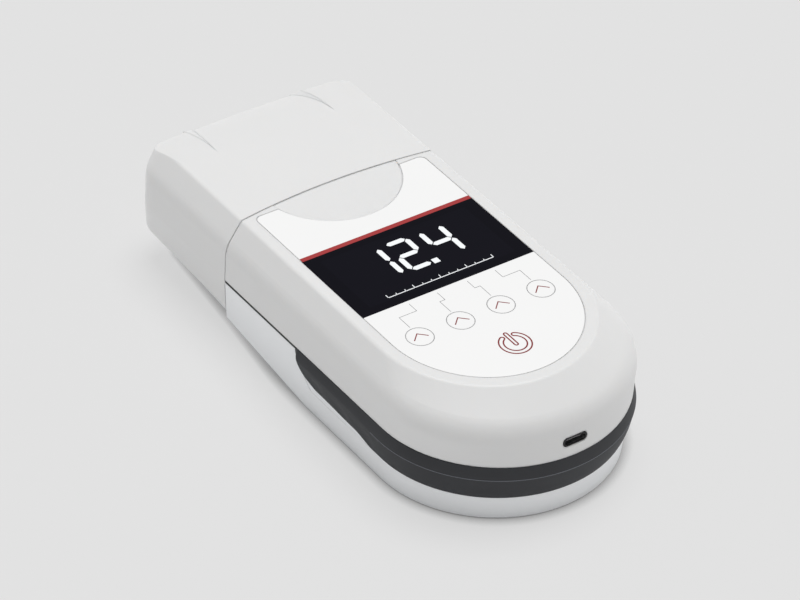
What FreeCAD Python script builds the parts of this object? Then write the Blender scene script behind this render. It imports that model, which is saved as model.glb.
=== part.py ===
import FreeCAD, Part
import math
import os

# Portable turbidimeter: a hand-held housing with a flush key panel and a display,
# a rubber bumper round the nose, and a deep lid at the far end over the sample well.
# Millimetres. The nose points to -Y, the lid lies at +Y, +Z is up,
# and the origin is under the middle of the instrument, where it stands.

# Housing
length = 196.0            # over the bumper's nose and the lid's back
height = 44.0             # top face above the table
waist_half = 45.25        # half width where the two shells meet
waist_z = 22.85           # height of that joint
waist_nose = 42.9         # how far the round nose reaches past the straight sides
base_draft = 1.55         # the base is this much narrower on each side
base_nose = 42.2
base_tip_back = 1.8       # the base's nose stands this much behind the waist's
crease_drop = 8.0         # below the top face the upright wall turns into the sloping shoulder
crease_in = 0.2
crease_nose = 34.0
crease_tip_back = 2.7
crease_round = 9.0
brow_in = 6.85            # from the sides to the edge of the flat top face
brow_nose = 39.2
brow_round = 1.6
brow_back = 2.0           # the top edge at the far end stands this far in
brow_corner = 6.0
back_radius = 260.0       # slightly bowed far wall
back_corner = 12.0
wall = 2.4
foot_proud = 0.6          # the feet lift the base off the table
roll_long = 23.0          # the top face rolls down to the far end over this length
roll_radius = 56.0
saddle_half = 23.8        # the middle of the far edge rolls down more
saddle_long = 23.5
saddle_radius = 51.5

# Underside, which rises from the middle of the sides to the far end
keel_long = 111.0
keel_rise = 13.3
keel_in = 14.0
tail_in = 16.0

# Lid
lid_long = 56.0           # along the middle of the top face
lid_gap = 0.4             # seam between the lid and the top shell
seam_radius = 250.0       # the seam bows towards the lid
lid_wall = 2.4
lid_clearance = 1.2       # inside the lid, round the deck
liner_in = 4.0            # from the seam
lid_edge_front = 10.6     # height of the skirt's lower edge at the seam
lid_edge_back = 13.8
lid_edge_corner = 5.0
lid_back_edge = 19.0      # lower edge of the lid's far wall
hinge_in = 5.4            # from the far end
hinge_z = 14.2
pin_radius = 1.5
pin_half = 27.0
barrel_radius = 3.0
barrel_gap = 0.7          # round the lid's barrels, in their slots
knuckle_in = 14.0
knuckle_out = 24.0
knuckle_gap = 0.5
pin_play = 0.06

# Deck under the lid and the sample well
deck_drop = 10.5          # below the top face
well_in = 32.0            # from the far end
vial_bore = 12.6
well_wall = 1.8
well_floor_z = 7.0
well_foot_z = 5.0
flange_radius = 19.0
flange_thick = 1.5
fit_gap = 0.15            # between nested fixed pieces
optic_z = 16.0
block_half = 21.0
block_z0 = 8.0
block_z1 = 25.0
emitter_radius = 2.5
sensor_radius = 4.0
lens_radius = 2.5
lens_thick = 1.8
beam_radius = 2.1         # light paths through the well and its block
pocket_depth = 4.0        # pockets of the lamp and the sensors
block_short = 1.5         # the block ends this much nearer at the back

# Key panel and display
panel_rim = 4.4           # flat rim of the top face outside the panel
panel_nose = 34.8
panel_in = 56.34          # from the nose to the centre of the panel's round end
panel_strip = 4.3         # from the panel to the seam
panel_corner = 2.5
panel_thick = 0.4
panel_groove = 0.25       # open line round the panel
display_near = 16.01      # from the centre of the panel's round end
display_long = 35.6
glass_thick = 0.8
view_side = 5.0           # printed border beside the view
view_margin = 3.4
key_near = -1.39          # keys' places from the centre of the panel's round end
key_pitch = 16.08
key_radius = 4.5
key_gap = 0.06
power_near = -19.94
power_radius = 6.6
stem_radius = 3.0
key_travel = 0.35
key_plate = 0.7           # rigid disc under each key zone
key_rest = 0.1            # from a plunger at full travel to its dome
dome_sheet_thick = 0.6
dome_high = 0.75
dome_radius = 3.4
dome_top = 2.2
scoop_radius = 25.3
scoop_near = 9.75         # from the display to its round edge
scoop_slope = 0.8         # degrees, down towards the lid

# Bumper and joint seal
bumper_proud = 1.6
bumper_low = 9.4
bumper_crest = 18.2
bumper_bed = 1.4          # depth of its seat in the lower shell
bumper_long = 92.0        # from the nose to the end of its upper edge on each side
bumper_slant = 7.0
scallop_radius = 13.0
scallop_depth = 0.7
scallop_first = 11.0      # from the bumper's end back to its first finger grip
scallop_pitch = 14.0
scallop_count = 3
scallop_rise = 3.0        # centres above the bumper's lower edge
seal_high = 1.1
seal_deep = 1.3
seal_in = 0.1             # the seal lies this much behind the shells' faces

# Connector in the nose
port_rise = 4.95          # above the joint of the shells
port_width = 9.7
port_high = 3.4
plug_shell_width = 8.94
plug_shell_high = 3.16
plug_shell_long = 7.35
port_recess = 0.6

# Boards, cells and fixings
board_thick = 1.6
board_side = 15.25        # from the housing's sides
board_back = 30.0
board_in = 5.6            # from the nose
board_nose = 31.0
board_flat = 5.0          # half of the straight stretch that carries the connector
board_chips = ((-12, -50, 9, 9, 1.4), (10, -34, 12, 12, 1.6), (-14, -14, 7, 5, 1.2), (12, 2, 16, 8, 1.8),
               (0, 20, 24, 5, 3.2))
ui_drop = 5.6             # below the top face
ui_side = 1.0             # from the panel's sides
ui_long = 85.5
ui_past = 5.55            # behind the display
ui_corner = 22.0
ui_post_y = 18.0
post_in = 3.0             # posts' centres from the key board's edges
post_radius = 2.6
board_post_in = 4.0
board_post_in_front = 22.4
pilot_radius = 0.9
small_head = 2.0
small_head_high = 1.2
small_hole = 1.1
board_screw_bite = 5.0    # how far the boards' screws reach into their posts
ui_screw_bite = 2.8
cable_half = 5.0
cable_thick = 0.3
cell_radius = 7.1
cell_long = 50.0
cell_count = 4
cell_pitch = 14.7
bay_in = 36.0             # from the nose
bay_long = 55.0
bay_wall = 1.6
cell_lift = 0.3           # cells above the door's inner face
cell_side = 0.4
cell_end = 2.4            # room for the contact and its spring
cell_step = 1.0           # length of a cell's button
cell_button = 2.7
spring_radius = 3.4
spring_bore = 2.6
contact_thick = 0.4
contact_half = 4.5
door_thick = 2.0
door_lap = 3.0
door_gap = 0.2
door_tab = 6.5
grip_count = 6            # fine grooves for the thumb that slides the door
grip_first = 6.0
grip_pitch = 2.4
grip_half = 14.0
door_screw_radius = 1.4
door_screw_head = 3.0
door_head_room = 1.2
foot_radius = 5.0
foot_thick = 1.4
foot_taper = 0.4
foot_front = (26.0, 26.0)     # half their spacing, and from the nose
foot_back = (23.0, 28.0)      # half their spacing, and from the far end
screw_front = (8.25, 60.0)    # from the side, and from the nose
screw_middle = (14.75, 54.0)  # from the side, and from the far end
screw_back = (17.75, 17.0)
boss_radius = 3.4
screw_radius = 1.25
screw_head = 2.6
screw_hole_gap = 0.25
head_deep = 14.0
screw_bite = 7.5          # how far a screw reaches into its post
door_screw_long = 6.4
magnet_radius = 2.5
magnet_thick = 2.0
magnet_in = 5.4           # from the edge of the top face
magnet_drop = 6.2         # centres below the top face
magnet_rim = 1.4

# Places that follow from the sizes above
nose_y = -length / 2
back_y = length / 2
base_half = waist_half - base_draft
crease_half = waist_half - crease_in
brow_half = waist_half - brow_in
crease_z = height - crease_drop
crest_share = (waist_z - bumper_crest) / (waist_z - foot_proud)
waist_tip = nose_y + bumper_proud - base_tip_back * crest_share
keel_start = back_y - keel_long
roll_start = back_y - roll_long
saddle_start = back_y - saddle_long
lid_front = back_y - lid_long
lid_room = lid_wall + lid_clearance
hinge_y = back_y - hinge_in
deck_z = height - deck_drop
well_y = back_y - well_in
panel_half = brow_half - panel_rim
panel_y = nose_y + panel_in
panel_top = lid_front - panel_strip
display_y0 = panel_y + display_near
display_y1 = display_y0 + display_long
view_half = panel_half - view_side
key_y = panel_y + key_near
power_y = panel_y + power_near
scoop_front = display_y1 + scoop_near
bumper_end = nose_y + bumper_long
port_z = waist_z + port_rise
board_half = waist_half - board_side
board_tip = nose_y + board_in
board_post_front = board_tip + board_post_in_front
ui_top = height - ui_drop
ui_half = panel_half - ui_side
ui_back = display_y1 + ui_past
ui_front = ui_back - ui_long
bay_front = nose_y + bay_in
foot_rows = ((foot_front[0], nose_y + foot_front[1]), (foot_back[0], back_y - foot_back[1]))
foot_spots = [(side * x, y) for x, y in foot_rows for side in (-1, 1)]
screw_rows = ((screw_front[0], nose_y + screw_front[1]), (screw_middle[0], back_y - screw_middle[1]),
              (screw_back[0], back_y - screw_back[1]))
screw_spots = [(side * (waist_half - x), y) for x, y in screw_rows for side in (-1, 1)]
magnet_x = brow_half - magnet_in
far = 400.0
V = FreeCAD.Vector


def box(x0, x1, y0, y1, z0, z1):
    return Part.makeBox(x1 - x0, y1 - y0, z1 - z0, V(x0, y0, z0))


def rod(radius, start, end):
    a = V(*start)
    axis = V(*end) - a
    return Part.makeCylinder(radius, axis.Length, a, axis)


def join(first, *others):
    for other in others:
        first = first.fuse(other)
    return first.removeSplitter()


def quarter(ax, ay, bx, by, cx, cy, z):
    # A quarter of an ellipse from a to b, with its square corner at c
    k = 0.5523
    poles = [V(ax, ay, z), V(ax + (cx - ax) * k, ay + (cy - ay) * k, z)]
    poles += [V(bx + (cx - bx) * k, by + (cy - by) * k, z), V(bx, by, z)]
    curve = Part.BezierCurve()
    curve.setPoles(poles)
    return curve.toShape()


def outline(z, half, tip, nose, back, corner):
    # Straight sides, round nose, and a bowed far edge with round corners
    side = tip + nose
    spread = math.sqrt((back_radius - corner) ** 2 - (half - corner) ** 2)
    bend = back - back_radius + spread
    turn = math.atan2(spread, half - corner)
    mid = turn / 2
    cx = half - corner
    on_x = cx + corner * math.cos(turn)
    on_y = bend + corner * math.sin(turn)
    mid_x = cx + corner * math.cos(mid)
    mid_y = bend + corner * math.sin(mid)
    edges = [Part.LineSegment(V(-half, bend, z), V(-half, side, z)).toShape()]
    edges.append(quarter(-half, side, 0, tip, -half, tip, z))
    edges.append(quarter(0, tip, half, side, half, tip, z))
    edges.append(Part.LineSegment(V(half, side, z), V(half, bend, z)).toShape())
    edges.append(Part.Arc(V(half, bend, z), V(mid_x, mid_y, z), V(on_x, on_y, z)).toShape())
    edges.append(Part.Arc(V(on_x, on_y, z), V(0, back, z), V(-on_x, on_y, z)).toShape())
    edges.append(Part.Arc(V(-on_x, on_y, z), V(-mid_x, mid_y, z), V(-half, bend, z)).toShape())
    return Part.Wire(edges)


def level(z, half, tip, nose, back, corner, inset):
    return outline(z, half - inset, tip + inset, nose - inset, back - inset, corner - inset)


def side_profile(points, x0, x1):
    # A closed outline in the plane of length and height, drawn across from x0 to x1
    edges = []
    for step in points:
        ends = [V(x0, y, z) for y, z in step]
        if len(ends) == 3:
            edges.append(Part.Arc(*ends).toShape())
        else:
            edges.append(Part.LineSegment(*ends).toShape())
    return Part.Face(Part.Wire(edges)).extrude(V(x1 - x0, 0, 0))


def roll_body(start, radius, drop, x0, x1):
    # Everything under the top face, which rolls down from start
    top = height - drop
    reach = back_y + 2.0
    fall = radius - math.sqrt(radius ** 2 - (reach - start) ** 2)
    middle = (reach - start) / 2
    half_fall = radius - math.sqrt(radius ** 2 - middle ** 2)
    steps = [((-far, -far), (-far, top)), ((-far, top), (start, top))]
    steps.append(((start, top), (start + middle, top - half_fall), (reach, top - fall)))
    steps += [((reach, top - fall), (reach, -far)), ((reach, -far), (-far, -far))]
    return side_profile(steps, x0, x1)


def hull(inset=0.0, rounded=False, floor=None):
    # The whole outer form of the instrument, or the same form set in by a wall
    low = foot_proud + (inset if floor is None else floor)
    rings = [
        level(low, base_half, waist_tip + base_tip_back, base_nose, back_y, back_corner, inset),
        level(waist_z, waist_half, waist_tip, waist_nose, back_y, back_corner, inset),
        level(crease_z - inset / 2, crease_half, waist_tip + crease_tip_back, crease_nose,
              back_y - 0.3, back_corner, inset),
        level(height - inset, brow_half, panel_y - brow_nose, brow_nose, back_y - brow_back,
              brow_corner, inset * 0.8),
    ]
    body = Part.makeLoft(rings, True, True)
    if rounded:
        body = round_edges(body)
    outer_roll = roll_body(roll_start, roll_radius - inset, inset, -far, far)
    body = body.common(outer_roll)
    saddle = roll_body(saddle_start, saddle_radius - inset, inset, -saddle_half - inset, saddle_half + inset)
    window = box(-saddle_half - inset, saddle_half + inset, saddle_start, far, waist_z, far)
    return body.cut(window.cut(saddle))


def round_edges(body):
    # The soft bend of the shoulder, then the rim of the flat top face
    for z, radius in ((crease_z, crease_round), (height, brow_round)):
        rim = [e for e in body.Edges if abs(e.BoundBox.ZMin - z) < 0.01 and e.BoundBox.ZLength < 0.01]
        body = body.makeFillet(radius, rim)
    return body


def undercut():
    # What is taken away below the rising lower edge, along both sides and the tail
    low = foot_proud - 5.0
    slope = keel_rise / keel_in
    out = 10.0
    pieces = []
    for side in (-1, 1):
        def section(y, rise):
            inner = base_half - rise / slope - 5.0 / slope
            edge = V(side * (waist_half + out), y, foot_proud + rise + out * slope)
            pts = [V(side * inner, y, low), edge, V(side * (waist_half + out), y, low)]
            return Part.makePolygon(pts + pts[:1])
        rings = [section(keel_start, 0.0), section((keel_start + back_y) / 2, keel_rise * 0.56),
                 section(back_y, keel_rise), section(back_y + keel_in, keel_rise * 1.12)]
        pieces.append(Part.makeLoft(rings, True, True))
    tail = keel_rise / tail_in
    steps = [((back_y - tail_in - 5.0 / tail, low), (back_y + 6.0, foot_proud + keel_rise + 6.0 * tail)),
             ((back_y + 6.0, foot_proud + keel_rise + 6.0 * tail), (back_y + 6.0, low)),
             ((back_y + 6.0, low), (back_y - tail_in - 5.0 / tail, low))]
    pieces.append(side_profile(steps, -far, far))
    return join(*pieces)


def seam_y(x):
    # Where the seam's line stands at a distance x from the middle
    return lid_front - seam_radius + math.sqrt(seam_radius ** 2 - x ** 2)


def seam_room(back, low=-far):
    # Everything on the nose's side of the seam, ending at a distance in front of it
    centre = lid_front - seam_radius
    return rod(seam_radius - back, (0, centre, low), (0, centre, far))


def panel_face(grow, z):
    # The flush panel: straight sides, round nose, small corners at the lid
    half = panel_half + grow
    top = panel_top + grow
    r = panel_corner
    k = r * (1 - math.sqrt(0.5))
    edges = [Part.LineSegment(V(-half, top - r, z), V(-half, panel_y, z)).toShape()]
    edges.append(quarter(-half, panel_y, 0, panel_y - panel_nose - grow, -half, panel_y - panel_nose - grow, z))
    edges.append(quarter(0, panel_y - panel_nose - grow, half, panel_y, half, panel_y - panel_nose - grow, z))
    edges.append(Part.LineSegment(V(half, panel_y, z), V(half, top - r, z)).toShape())
    edges.append(Part.Arc(V(half, top - r, z), V(half - k, top - k, z), V(half - r, top, z)).toShape())
    edges.append(Part.LineSegment(V(half - r, top, z), V(r - half, top, z)).toShape())
    edges.append(Part.Arc(V(r - half, top, z), V(k - half, top - k, z), V(-half, top - r, z)).toShape())
    return Part.Face(Part.Wire(edges))


def panel_slab(grow, thick):
    return panel_face(grow, height - thick).extrude(V(0, 0, thick))


def key_places():
    places = [((i - 1.5) * key_pitch, key_y, key_radius) for i in range(4)]
    return places + [(0.0, power_y, power_radius)]


def scoop_cut():
    # A shallow round dish whose floor falls towards the lid, for the finger that lifts the lid
    centre = scoop_front + scoop_radius
    drum = rod(scoop_radius, (0, centre, deck_z), (0, centre, far))
    start = height - panel_thick
    reach = centre + scoop_radius
    end = start - (reach - scoop_front) * math.tan(math.radians(scoop_slope))
    steps = [((scoop_front, start), (reach, end)), ((reach, end), (reach, far)),
             ((reach, far), (scoop_front, far)), ((scoop_front, far), (scoop_front, start))]
    return drum.common(side_profile(steps, -far, far))


def port_shape(width, high, y0, y1):
    # A slot with round ends, seen from the nose
    r = high / 2
    reach = width / 2 - r
    slot = box(-reach, reach, y0, y1, port_z - r, port_z + r)
    for side in (-1, 1):
        slot = slot.fuse(rod(r, (side * reach, y0, port_z), (side * reach, y1, port_z)))
    return slot.removeSplitter()


def bumper_zone(grow):
    # The side view of the bumper: its ends slant back from the upper edge
    low = bumper_low - grow
    end = bumper_end + grow
    foot = bumper_end - bumper_slant
    middle = (end - bumper_slant * 0.23, bumper_low + (waist_z - bumper_low) * 0.45)
    steps = [((-far, low), (foot, low)), ((foot, low), middle, (end, waist_z)),
             ((end, waist_z), (-far, waist_z)), ((-far, waist_z), (-far, low))]
    return side_profile(steps, -far, far)


def low_outline(z, out):
    # The lower shell's outline at a height between its base and the waist
    t = (z - foot_proud) / (waist_z - foot_proud)
    half = base_half + (waist_half - base_half) * t
    tip = waist_tip + base_tip_back * (1 - t)
    nose = base_nose + (waist_nose - base_nose) * t
    return outline(z, half + out, tip - out, nose + out, back_y + out, back_corner + out)


def bumper():
    rings = [low_outline(bumper_low, 0.0), low_outline((bumper_low + bumper_crest) / 2, bumper_proud * 0.8),
             low_outline(bumper_crest, bumper_proud), low_outline(waist_z, 0.0)]
    band = Part.makeLoft(rings, True, True)
    bed = Part.makeLoft([low_outline(bumper_low - 1, -bumper_bed),
                         low_outline(waist_z + 1, -bumper_bed)], True, True)
    band = band.cut(bed).common(bumper_zone(0.0))
    for side in (-1, 1):
        for i in range(scallop_count):
            y = bumper_end - scallop_first - i * scallop_pitch
            reach = waist_half + bumper_proud * 0.8 + scallop_radius - scallop_depth
            grip = Part.makeSphere(scallop_radius, V(side * reach, y, bumper_low + scallop_rise))
            band = band.cut(grip)
    return band


def bumper_bed_cut():
    outer = Part.makeLoft([low_outline(bumper_low, 3.0), low_outline(waist_z, 3.0)], True, True)
    bed = Part.makeLoft([low_outline(bumper_low - 1, -bumper_bed),
                         low_outline(waist_z + 1, -bumper_bed)], True, True)
    return outer.cut(bed).common(bumper_zone(0.0))


def seal():
    # A thin cord of rubber in the joint of the two shells, seen along the sides
    outer = Part.makeLoft([low_outline(waist_z - seal_high, -seal_in),
                           low_outline(waist_z, -seal_in)], True, True)
    inner = Part.makeLoft([low_outline(waist_z - seal_high - 1, -seal_in - seal_deep),
                           low_outline(waist_z + 1, -seal_in - seal_deep)], True, True)
    return outer.cut(inner).cut(box(-far, far, -far, bumper_end + 0.3, 0, far)).common(seam_room(lid_gap))


def seal_bed():
    outer = Part.makeLoft([low_outline(waist_z - seal_high, 2.0), low_outline(waist_z, 2.0)], True, True)
    inner = Part.makeLoft([low_outline(waist_z - seal_high - 1, -seal_in - seal_deep),
                           low_outline(waist_z + 1, -seal_in - seal_deep)], True, True)
    return outer.cut(inner).cut(box(-far, far, -far, bumper_end, 0, far)).common(seam_room(lid_gap))


def top_shell(outer_hull):
    side_seam = seam_y(waist_half) - lid_gap
    front = outer_hull.common(seam_room(lid_gap, waist_z))
    deck = hull(lid_room).common(box(-far, far, side_seam - 5.0, far, waist_z, deck_z))
    room = hull(wall).common(seam_room(lid_gap + wall, waist_z - 1.0))
    low_room = hull(lid_room + wall).common(box(-far, far, side_seam - 8.0, far, waist_z - 1.0, deck_z - wall))
    shell = join(front, deck).cut(join(room, low_room))
    for x, y in screw_spots:
        top = height if y < side_seam else deck_z
        post = rod(boss_radius, (x, y, waist_z), (x, y, top))
        post = post.common(outer_hull if y < side_seam else hull(lid_room))
        shell = shell.fuse(post)
    for x, y in ui_posts():
        shell = shell.fuse(rod(post_radius, (x, y, ui_top), (x, y, height - wall)))
    z = height - magnet_drop
    y = body_magnet_y()
    for x in (-magnet_x, magnet_x):
        shell = shell.fuse(rod(magnet_radius + magnet_rim, (x, y - 1.2, z), (x, y + magnet_thick - 0.5, z)))
    shell = shell.removeSplitter()
    shell = shell.cut(panel_slab(panel_groove, panel_thick))
    glass = box(-panel_half - panel_groove, panel_half + panel_groove, display_y0, display_y1,
                height - glass_thick, height + 1)
    view = box(-view_half, view_half, display_y0 + view_margin, display_y1 - view_margin, height - 5, height)
    shell = shell.cut(glass).cut(view).cut(scoop_cut())
    low = height - panel_thick - key_plate - key_travel - 0.05
    for kx, ky, r in key_places():
        shell = shell.cut(rod(r + 0.25, (kx, ky, low), (kx, ky, height)))
        shell = shell.cut(rod(stem_radius + 0.3, (kx, ky, height - wall - 1), (kx, ky, height)))
    shell = shell.cut(port_shape(port_width, port_high, nose_y - wall, port_face_y() + 2 * wall))
    shell = shell.cut(rod(vial_bore + well_wall + fit_gap, (0, well_y, waist_z), (0, well_y, height)))
    for sx, sy in screw_spots:
        shell = shell.cut(rod(screw_radius, (sx, sy, waist_z - 1), (sx, sy, waist_z + screw_bite + 0.5)))
    for px, py in ui_posts():
        shell = shell.cut(rod(pilot_radius, (px, py, ui_top - 1), (px, py, ui_top + 3.0)))
    for x in (-magnet_x, magnet_x):
        shell = shell.cut(rod(magnet_radius, (x, y, z), (x, lid_front, z)))
    return shell


def ui_posts():
    reach = ui_half - post_in
    return [(x, y) for x in (-reach, reach) for y in (ui_front + ui_post_y, ui_back - post_in)]


def board_posts():
    reach = board_half - board_post_in
    return [(x, y) for x in (-reach, reach) for y in (board_post_front, board_back - board_post_in - 1.0)]


def block_posts():
    reach = block_half - 4.5
    return [(x, well_y + y) for x in (-reach, reach) for y in (-reach, reach - block_short)]


def bay_half():
    return cell_count * cell_pitch / 2 + cell_side


def bay_roof():
    return cell_z() + cell_radius + cell_lift


def bottom_shell():
    side_seam = seam_y(waist_half) - lid_gap
    cut = undercut()
    below = box(-far, far, -far, far, -far, waist_z)
    front = hull().common(seam_room(lid_gap)).common(below)
    rear = hull(lid_room, floor=0.0).common(box(-far, far, side_seam - 2.0, far, -far, waist_z))
    body = join(front, rear).cut(cut)
    hollow = hull(wall).common(seam_room(lid_gap + wall)).common(below)
    under_deck = box(-far, far, side_seam - wall - 2.0, far, -far, waist_z)
    rear_hollow = hull(lid_room + wall, floor=wall).common(under_deck)
    hollow = join(hollow, rear_hollow)
    thick_cut = cut.copy()
    thick_cut.translate(V(0, 0, wall * 1.35))
    hollow = hollow.cut(thick_cut)
    half = bay_half() + bay_wall
    bay_block = box(-half, half, bay_front - bay_wall, bay_front + bay_long + bay_wall,
                    0, bay_roof() + bay_wall)
    hinge_block = box(-pin_half - 3.0, pin_half + 3.0, hinge_y - 2 * barrel_radius, far, 0, waist_z)
    hollow = hollow.cut(bay_block).cut(hinge_block)
    body = body.cut(hollow)
    body = body.cut(box(-bay_half(), bay_half(), bay_front, bay_front + bay_long, -1, bay_roof()))
    ledge = bay_half() + door_lap
    door_room = box(-ledge, ledge, bay_front - door_lap, bay_front + bay_long + door_lap,
                    -1, foot_proud + door_thick)
    body = body.cut(door_room)
    keep = body
    for x, y in screw_spots:
        post = rod(boss_radius, (x, y, foot_proud), (x, y, waist_z)).cut(cut)
        keep = keep.fuse(post)
    for x, y in board_posts():
        keep = keep.fuse(rod(2.8, (x, y, foot_proud + 1), (x, y, port_z - plug_shell_high / 2 - board_thick)))
    keep = keep.fuse(rod(vial_bore + well_wall + 2.0, (0, well_y, foot_proud + 1), (0, well_y, well_foot_z)))
    keep = keep.fuse(rod(4.0, (0, door_screw_y(), foot_proud + door_thick), (0, door_screw_y(), foot_proud + 8.0)))
    for x, y in block_posts():
        keep = keep.fuse(rod(2.5, (x, y, foot_proud + 1), (x, y, block_z0)))
    body = keep.removeSplitter()
    for x, y in screw_spots:
        body = body.cut(rod(screw_radius + screw_hole_gap, (x, y, -1), (x, y, waist_z + 1)))
        body = body.cut(rod(screw_head + screw_hole_gap, (x, y, -1), (x, y, head_deep)))
    for x, y in board_posts():
        body = body.cut(rod(pilot_radius, (x, y, board_z() - 6), (x, y, board_z() + 1)))
    body = body.cut(rod(door_screw_radius, (0, door_screw_y(), foot_proud), (0, door_screw_y(), foot_proud + 7.0)))
    for x, y in foot_spots:
        body = body.cut(rod(foot_radius, (x, y, -1), (x, y, foot_thick)))
    body = body.cut(bumper_bed_cut()).cut(seal_bed())
    slot = join(rod(barrel_radius + barrel_gap, (knuckle_in - knuckle_gap, hinge_y, hinge_z),
                    (knuckle_out + knuckle_gap, hinge_y, hinge_z)),
                box(knuckle_in - knuckle_gap, knuckle_out + knuckle_gap, hinge_y, far, 0, lid_back_edge + 2.2))
    body = body.cut(slot).cut(slot.mirror(V(0, 0, 0), V(1, 0, 0)))
    return body.cut(rod(pin_radius, (-pin_half, hinge_y, hinge_z), (pin_half, hinge_y, hinge_z)))


def board_z():
    # Underside-to-top of the main board: the connector sits on its upper face
    return port_z - plug_shell_high / 2 - board_thick


def door_screw_y():
    return bay_front + bay_long + bay_wall + door_tab - 1.0


def lid_shell(outer_hull):
    y1 = back_y + 5.0
    c = lid_edge_corner
    k = c * (1 - math.sqrt(0.5))
    y0 = seam_y(waist_half) - 0.5
    steps = [((y0, lid_edge_front), (back_y - c, lid_edge_back)),
             ((back_y - c, lid_edge_back), (back_y - k, lid_edge_back + k), (back_y, lid_edge_back + c)),
             ((back_y, lid_edge_back + c), (y1, lid_edge_back + c)), ((y1, lid_edge_back + c), (y1, far)),
             ((y1, far), (y0, far)), ((y0, far), (y0, lid_edge_front))]
    solid = outer_hull.common(side_profile(steps, -far, far)).cut(seam_room(0.0))
    room = hull(lid_wall).cut(seam_room(-lid_wall, deck_z + 0.8))
    shell = solid.cut(room)
    inner = waist_half - lid_wall - 0.5
    shell = shell.cut(box(-inner, inner, hinge_y, far, -far, lid_back_edge))
    h = hinge_z
    arm_steps = [(hinge_y, h + 2.4), (back_y - 2.6, h + 5.6), (back_y - 2.6, h + 11.0), (back_y - 0.6, h + 11.0),
                 (back_y - 0.6, h + 4.6), (hinge_y + 2.6, h - 1.2)]
    for side in (-1, 1):
        x0 = knuckle_in if side > 0 else -knuckle_out
        x1 = x0 + knuckle_out - knuckle_in
        pts = [V(x0, y, z) for y, z in arm_steps]
        arm = Part.Face(Part.makePolygon(pts + pts[:1])).extrude(V(x1 - x0, 0, 0))
        shell = shell.fuse(arm).fuse(rod(barrel_radius, (x0, hinge_y, h), (x1, hinge_y, h)))
    z = height - magnet_drop
    y = lid_magnet_y()
    for x in (-magnet_x, magnet_x):
        shell = shell.fuse(rod(magnet_radius + magnet_rim, (x, y + 0.5, z), (x, y + magnet_thick + 1.4, z)))
    shell = shell.removeSplitter()
    for x in (-magnet_x, magnet_x):
        shell = shell.cut(rod(magnet_radius, (x, y0, z), (x, y + magnet_thick, z)))
    return shell.cut(rod(pin_radius + pin_play, (-pin_half, hinge_y, h), (pin_half, hinge_y, h)))


def seal_top():
    return deck_z + flange_thick + 1.6


def lid_liner():
    # Black tray under the lid's roof with a collar that closes round the well
    top = height - lid_wall
    y0 = lid_front + liner_in
    half = brow_half - lid_wall
    plate = box(-half, half, y0, well_y + flange_radius - 2.0, top - 1.4, top)
    plate = plate.makeFillet(5.0, [e for e in plate.Edges if abs(e.BoundBox.ZLength - 1.4) < 0.01])
    plate = plate.common(hull(lid_wall))
    tube = rod(flange_radius - 1.0, (0, well_y, seal_top()), (0, well_y, top - 1.2))
    tube = tube.common(hull(lid_wall))
    tube = tube.cut(rod(flange_radius - 2.6, (0, well_y, seal_top() - 1), (0, well_y, top - 1.4)))
    return join(plate, tube)


def lid_ring_seal():
    z0 = deck_z + flange_thick + 0.3
    ring = rod(flange_radius - 0.6, (0, well_y, z0), (0, well_y, seal_top()))
    return ring.cut(rod(flange_radius - 3.0, (0, well_y, 0), (0, well_y, far)))


def sample_well():
    outer = vial_bore + well_wall
    tube = rod(outer, (0, well_y, well_foot_z), (0, well_y, deck_z + flange_thick))
    flange = rod(flange_radius, (0, well_y, deck_z), (0, well_y, deck_z + flange_thick))
    well = join(tube, flange)
    well = well.cut(rod(vial_bore, (0, well_y, well_floor_z), (0, well_y, far)))
    for dx, dy in ((1, 0), (-1, 0), (0, -1)):
        hole = rod(beam_radius, (0, well_y, optic_z), (dx * 30, well_y + dy * 30, optic_z))
        well = well.cut(hole)
    return well


def optics_block():
    block = box(-block_half, block_half, well_y - block_half, well_y + block_half - block_short,
                block_z0, block_z1)
    corners = [e for e in block.Edges if abs(e.BoundBox.ZLength - block_z1 + block_z0) < 0.01]
    block = block.makeFillet(3.0, corners)
    block = block.cut(rod(vial_bore + well_wall + fit_gap, (0, well_y, 0), (0, well_y, far)))
    reach = block_half + 1.0
    inner = block_half - pocket_depth
    for dx, dy, r in ((-1, 0, emitter_radius), (1, 0, sensor_radius), (0, -1, sensor_radius)):
        start = (0, well_y, optic_z)
        block = block.cut(rod(beam_radius, start, (dx * reach, well_y + dy * reach, optic_z)))
        block = block.cut(rod(r + 0.1, (dx * inner, well_y + dy * inner, optic_z),
                              (dx * reach, well_y + dy * reach, optic_z)))
    return block.cut(rod(lens_radius + 0.05, (lens_thick - inner, well_y, optic_z), (-reach, well_y, optic_z)))


def domed_rod(radius, flat, shoulder, tip):
    # A round piece across the instrument with a shallow dome at its tip
    rise = tip - shoulder
    ball_radius = (radius ** 2 + rise ** 2) / (2 * rise)
    ball = Part.makeSphere(ball_radius, V(tip - ball_radius, well_y, optic_z))
    dome = ball.common(rod(radius, (shoulder - 0.2, well_y, optic_z), (tip + 1.0, well_y, optic_z)))
    return join(rod(radius, (flat, well_y, optic_z), (shoulder, well_y, optic_z)), dome)


def source_lens():
    # Flat towards the lamp, domed towards the well
    seat = 0.2 - (block_half - pocket_depth)
    return domed_rod(lens_radius, seat, seat + 0.8, seat + lens_thick - 0.3)


def light_source():
    # A round lamp with a collar, its dome towards the well
    tip = -(block_half - pocket_depth)
    end = tip - 5.5
    collar = rod(emitter_radius + 0.4, (end, well_y, optic_z), (end + 0.9, well_y, optic_z))
    return join(domed_rod(emitter_radius, end, tip - 1.5, tip), collar)


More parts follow.
